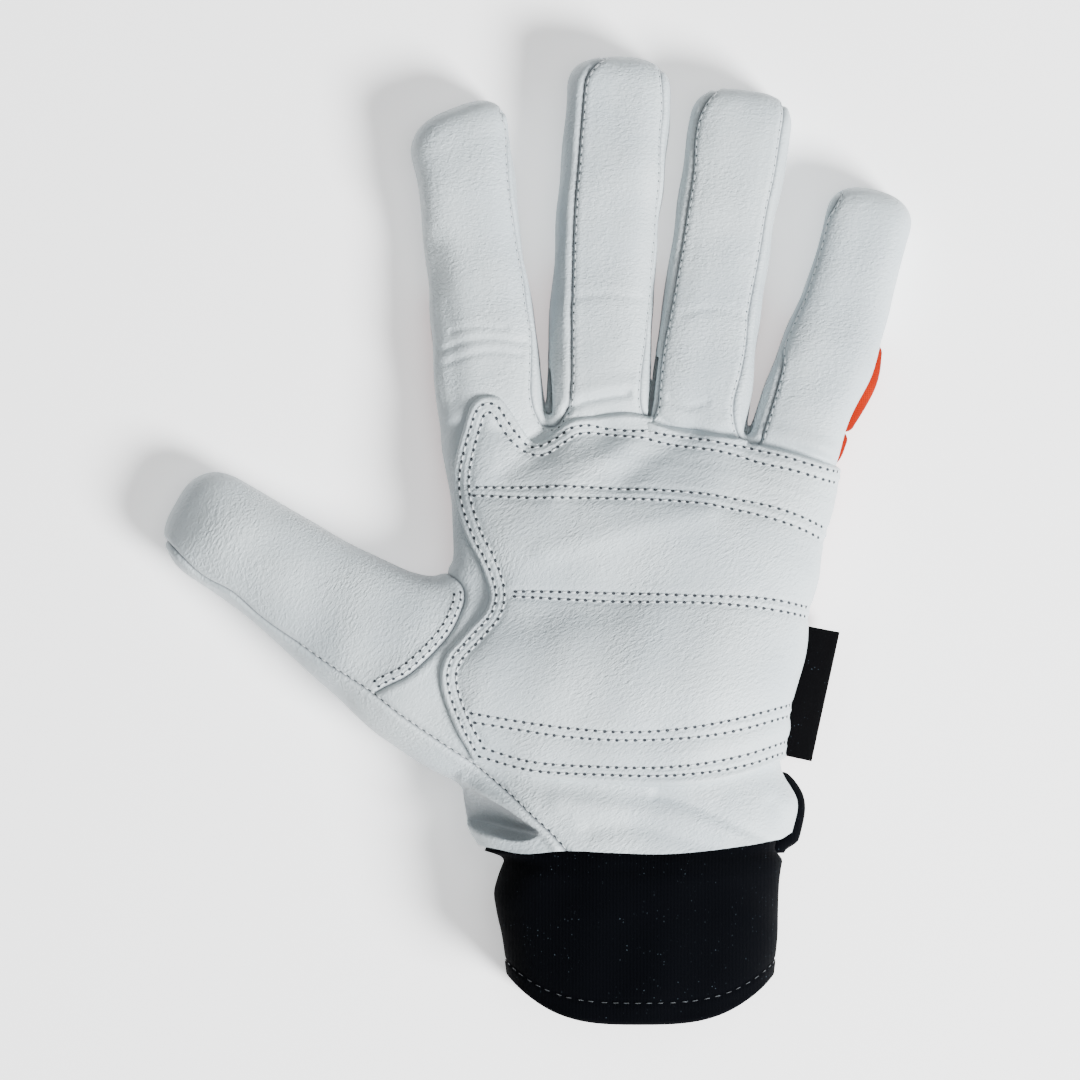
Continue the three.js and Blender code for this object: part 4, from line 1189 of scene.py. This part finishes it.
palm_faces = skin_faces[skin_names == "palm_leather"]
pad_skin = (skin_points, palm_faces, np.full(len(palm_faces), "under", dtype="U32"))
pad_skin = cut_out(pad_skin, "palm_pad", ["under"], lambda x, y, z: loop_level(x, y, PAD_LOOP))
pad_piece = ["palm_pad"]
for inset in (0.15, 0.5, 1.1):
    pad_skin = cut_out(pad_skin, "palm_pad", pad_piece, lambda x, y, z: loop_level(x, y, PAD_LOOP) - inset)
for beside_row in (ROW_HALF_WIDTH, 0.9):
    pad_skin = cut_out(pad_skin, "palm_pad", pad_piece, lambda x, y, z: row_distance(x, y) - beside_row)
pad_points, pad_faces, pad_names = pad_skin
pad_faces = pad_faces[pad_names == "palm_pad"]
used, pad_faces = np.unique(pad_faces, return_inverse=True)
pad_faces = pad_faces.reshape(-1, 3)
pad_points = pad_points[used]
pad_normals = slope_of(*pad_points.T)[1]
pad_relief, pad_seams = relief(*pad_points.T, pad_normals)
pad_heights = pad_relief + pad_rise(pad_points[:, 0], pad_points[:, 1])
pad_places = pad_points + pad_normals * pad_heights[:, None]
pad_facts = {"seam": pad_seams, **grain_ways(pad_points[:, 0], pad_points[:, 1])}
palm_pad = skin_piece("palm_pad_skin", pad_places, pad_normals, pad_faces, pad_facts)
palm_pad.data.materials.append(white_leather)
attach(palm_pad, "root")
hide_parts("palm_pad")
sew("pad_stitches", PAD_ROW_LINES, 2.4, (0.53, 0.43), (0.64, 0.25, 0.2), pad_rise)


# Cuff: a black knitted tube, doubled over at its hem, which starts inside the leather and is sewn to it. It
# flattens where it lies, and its rim rises at both sides.

CUFF_LENGTH = 45.1
CUFF_WIDTH = 76.0
CUFF_THICKNESS = 37.0
CUFF_WALL = 2.4
CUFF_TUCK = 8.0
CUFF_RIM_RISE = 12.0
CUFF_HEM = 5.0
HEM_PROUD = 0.2
CUFF_INSET = 3.6
# The lip that shows under the leather's corner at the thumb side: width, place and reach along the tube.
LIP_WIDTH, LIP_PLACE, LIP_REACH = 3.4, 0.01, 0.03
CUFF = outline(
    along=[0.1, 0.16, 0.24, 0.34, 0.5, 0.7, 1.0],
    left=[0.477, 0.488, 0.5, 0.511, 0.503, 0.484, 0.466],
    right=[0.505, 0.5, 0.495, 0.492, 0.49, 0.488, 0.474],
    thick=[0.98, 1.0, 1.0, 1.0, 1.0, 1.0, 0.98],
)


def cuff_surface(along, turn, grow):
    """A superellipse section, turned through once, at each share of the cuff's length: inside the leather it
    is the palm's own section drawn in, past the wrist it is the cuff's, with the rim raised at the sides."""
    power = 2.0 / ROUNDNESS
    across = np.sign(np.cos(turn)) * np.abs(np.cos(turn)) ** power
    up = np.sign(np.sin(turn)) * np.abs(np.sin(turn)) ** power
    palm_share = np.maximum(0.0, -along * CUFF_LENGTH) / PALM_LENGTH
    column = np.where(across < 0, read(PALM, "left", palm_share), read(PALM, "right", palm_share))
    inner_wide = column * PALM_WIDTH - CUFF_INSET
    inner_thick = read(PALM, "thick", palm_share) * PALM_THICKNESS / 2 - CUFF_INSET
    column = np.where(across < 0, read(CUFF, "left", along), read(CUFF, "right", along))
    outer_wide = column * CUFF_WIDTH
    outer_thick = read(CUFF, "thick", along) * CUFF_THICKNESS / 2
    out = smooth_step(along, -0.01, 0.1)
    wide = inner_wide + (outer_wide - inner_wide) * out + grow
    wide += LIP_WIDTH * (across < 0) * np.exp(-(((along - LIP_PLACE) / LIP_REACH) ** 2))
    thick = inner_thick + (outer_thick - inner_thick) * out + grow
    middle = inner_thick + CUFF_INSET - PRESSED_FLAT + (outer_thick - inner_thick - CUFF_INSET) * out
    x = PALM_MIDDLE + across * wide
    y = WRIST - along * CUFF_LENGTH + CUFF_RIM_RISE * np.abs(across) ** 3.2 * np.maximum(along, 0.0)
    return np.stack([x, y, middle + up * thick], axis=-1)


def cuff_profile(step):
    """Down the outside with a slightly thicker hem, round the rim and back up the inside."""
    tuck, hem = -CUFF_TUCK / CUFF_LENGTH, 1.0 - CUFF_HEM / CUFF_LENGTH
    down = np.linspace(tuck, 1.0, int(CUFF_LENGTH / step))
    groove = 0.4 * np.exp(-(((down - hem) / 0.012) ** 2))
    thicker = HEM_PROUD * smooth_step(down, hem - 0.004, hem + 0.012) - groove
    angle = np.linspace(0.0, np.pi, 9)[1:-1]
    half = (CUFF_WALL + HEM_PROUD) / 2
    round_along = 1.0 + np.sin(angle) * half / CUFF_LENGTH
    round_grow = HEM_PROUD - half + np.cos(angle) * half
    back = np.linspace(1.0, tuck, 40)
    along = np.concatenate([down, round_along, back])
    grow = np.concatenate([thicker, round_grow, np.full(len(back), -CUFF_WALL)])
    return along, grow


def cuff_waved(places):
    """The knit's slow seeded waves lift its upper side and fade out towards the floor."""
    turns = places @ (WAVE_WAY / WAVE_LENGTH[:, None]).T * 2.0 * np.pi + WAVE_PHASE
    lift = 0.1 * np.sin(turns).sum(axis=-1) * smooth_step(places[..., 2], 6.0, 20.0)
    return places + lift[..., None] * np.array([0.0, 0.0, 1.0])


def kept_inside(places):
    """Where the tube is inside the leather it stays the inset below the palm side, and moves in from the
    skin where it is nearer to it than that."""
    tucked = smooth_step(places[:, 1] - leather_edge(places[:, 0]), -1.0, 1.2)
    over = places[:, 2] + CUFF_INSET - height_over(places[:, 0], places[:, 1])
    places = places - (np.clip(over, 0.0, 20.0) * tucked)[:, None] * np.array([0.0, 0.0, 1.0])
    slope, way = slope_of(*places.T)
    depth = hand_distance(*places.T) / np.maximum(np.linalg.norm(slope, axis=-1), 0.4)
    return places - way * (np.clip(depth + CUFF_INSET - 1.0, 0.0, 6.0) * tucked)[:, None]


cuff_step = 0.8
cuff_along, cuff_grow = cuff_profile(cuff_step)
cuff_turn = np.linspace(0.0, 2.0 * np.pi, int(210.0 / cuff_step), endpoint=False)
cuff_places = cuff_waved(cuff_surface(cuff_along[:, None], cuff_turn[None, :], cuff_grow[:, None]))
cuff_places = kept_inside(cuff_places.reshape(-1, 3)).reshape(cuff_places.shape)
rows, columns = cuff_places.shape[:2]
row, column = np.meshgrid(np.arange(rows), np.arange(columns), indexing="ij")
next_row, next_column = (row + 1) % rows, (column + 1) % columns
cuff_quads = np.stack([
    row * columns + column, next_row * columns + column,
    next_row * columns + next_column, row * columns + next_column,
], axis=-1).reshape(-1, 4)
cuff = make_mesh("cuff_knit", settled(cuff_places.reshape(-1, 3)), cuff_quads)
cuff.data.materials.append(black_knit)
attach(cuff, "root")
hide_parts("cuff")

# The hem's stitches: short slack threads, evenly spaced round the tube in the groove where the hem ends.
hem_share = np.full(700, 1.0 - (CUFF_HEM - 0.4) / CUFF_LENGTH)
hem_turn = np.linspace(-0.25, np.pi + 0.25, 700)
hem_path, hem_inner = (
    cuff_waved(cuff_surface(hem_share, hem_turn, np.full(700, grow))) for grow in (0.02, -1.0)
)
hem_run = run_along(hem_path)
hem_way = np.gradient(hem_path, axis=0)
hem_way[:, 1] += SEWING.uniform(-0.02, 0.02, 700)
hem_stops = np.arange(1.5, hem_run[-1], 3.1)
hem_stops += SEWING.uniform(-0.3, 0.3, len(hem_stops))
hem_centre, hem_along, hem_up = (
    read_rows(hem_stops, hem_run, values) for values in (hem_path, hem_way, hem_path - hem_inner)
)
hem_beads = repeated(ball(0.8, 0.13, 0.12), hem_centre, unit(hem_along), unit(hem_up))
hem_stitches = make_mesh("hem_stitches", *hem_beads)
hem_thread = plain_material("hem_thread", (0.06, 0.075, 0.09), 0.6, Sheen_Weight=0.2)
mottled(hem_thread, (0.006, 0.008, 0.01), (0.04, 0.05, 0.06), 0.5, 0.03)
hem_stitches.data.materials.append(hem_thread)
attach(hem_stitches, "root")


# Side label: a short piece of plain black woven tape with rounded edges. Its inner edge is caught in the
# outer side seam, and its free edge droops towards the floor.

LABEL_CORNERS = np.array([at(803, 625), at(839, 632), at(811, 761), at(779, 754)])
LABEL_THICKNESS = 0.8
LABEL_HEIGHT = 8.3


def label_surface(across, down, side):
    """Plan place between the four corners by the two shares, with the free edge drooping and a slow wave."""
    top = LABEL_CORNERS[0] + (LABEL_CORNERS[1] - LABEL_CORNERS[0]) * across[..., None]
    foot = LABEL_CORNERS[3] + (LABEL_CORNERS[2] - LABEL_CORNERS[3]) * across[..., None]
    plan = top + (foot - top) * down[..., None]
    height = LABEL_HEIGHT - 1.6 * across**2 + 0.35 * np.sin(down * 7.0) * across
    return np.concatenate([plan, (height + side * LABEL_THICKNESS / 2)[..., None]], axis=-1)


label_across, label_down = np.meshgrid(np.linspace(0, 1, 13), np.linspace(0, 1, 37), indexing="ij")
label_rounding = 1.0 - 0.5 * np.maximum(np.abs(2 * label_across - 1), np.abs(2 * label_down - 1)) ** 12
label_top = label_surface(label_across, label_down, label_rounding)
label_under = label_surface(label_across, label_down, -label_rounding)
label_places = np.concatenate([label_top.reshape(-1, 3), label_under.reshape(-1, 3)])
a, b = label_across.shape
i, j = np.meshgrid(np.arange(a - 1), np.arange(b - 1), indexing="ij")
corner = (i * b + j).ravel()
top_quads = np.stack([corner, corner + 1, corner + b + 1, corner + b], axis=-1)
under_quads = top_quads[:, ::-1] + a * b
border = np.concatenate([
    np.arange(b), np.arange(1, a) * b + b - 1,
    (a - 1) * b + np.arange(b - 1)[::-1], np.arange(1, a - 1)[::-1] * b,
])
border_next = np.roll(border, -1)
side_quads = np.stack([border_next, border, border + a * b, border_next + a * b], axis=-1)
label_quads = np.concatenate([top_quads, under_quads, side_quads])[:, ::-1]
side_label = make_mesh("side_label_tape", label_places, label_quads)
woven_label = black_cloth("woven_label", 0.35, (0.002, 0.002, 0.0025))
side_label.data.materials.append(woven_label)
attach(side_label, "root")
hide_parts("side_label")


# Stage: a pale floor that glows a little, the camera straight above as in the photograph, and soft studio
# light from the lower right with a weak one overhead.

bpy.ops.mesh.primitive_plane_add(size=6.0, location=(0.0, 0.0, -0.0006))
floor = bpy.context.object
floor.name = "floor"
pale_floor = plain_material("pale_floor", (0.93, 0.935, 0.94), 0.8,
                            Emission_Color=(1.0, 1.0, 1.0, 1.0), Emission_Strength=0.65)
floor.data.materials.append(pale_floor)
camera_data = bpy.data.cameras.new("camera")
camera_data.sensor_width = 36.0
camera_data.lens = 309.0
camera_data.clip_end = 20.0
camera = bpy.data.objects.new("camera", camera_data)
camera.location = (0.0005, 0.0, 2.5)
bpy.context.collection.objects.link(camera)
bpy.context.scene.camera = camera


def soft_light(name, place, size, power):
    """A round lamp turned towards the middle of the glove."""
    data = bpy.data.lights.new(name, "AREA")
    data.shape = "DISK"
    data.size = size
    data.energy = power
    light = bpy.data.objects.new(name, data)
    light.location = place
    light.rotation_euler = (Vector((0.0, 0.0, 0.0)) - Vector(place)).to_track_quat("-Z", "Y").to_euler()
    bpy.context.collection.objects.link(light)


soft_light("key_light", (1.4, -0.95, 1.35), 0.8, 180.0)
soft_light("top_light", (0.3, 0.1, 2.4), 1.4, 26.0)
world = bpy.data.worlds.new("studio")
world.use_nodes = True
world.node_tree.nodes["Background"].inputs["Color"].default_value = (1.0, 1.0, 1.0, 1.0)
world.node_tree.nodes["Background"].inputs["Strength"].default_value = 0.1
bpy.context.scene.world = world
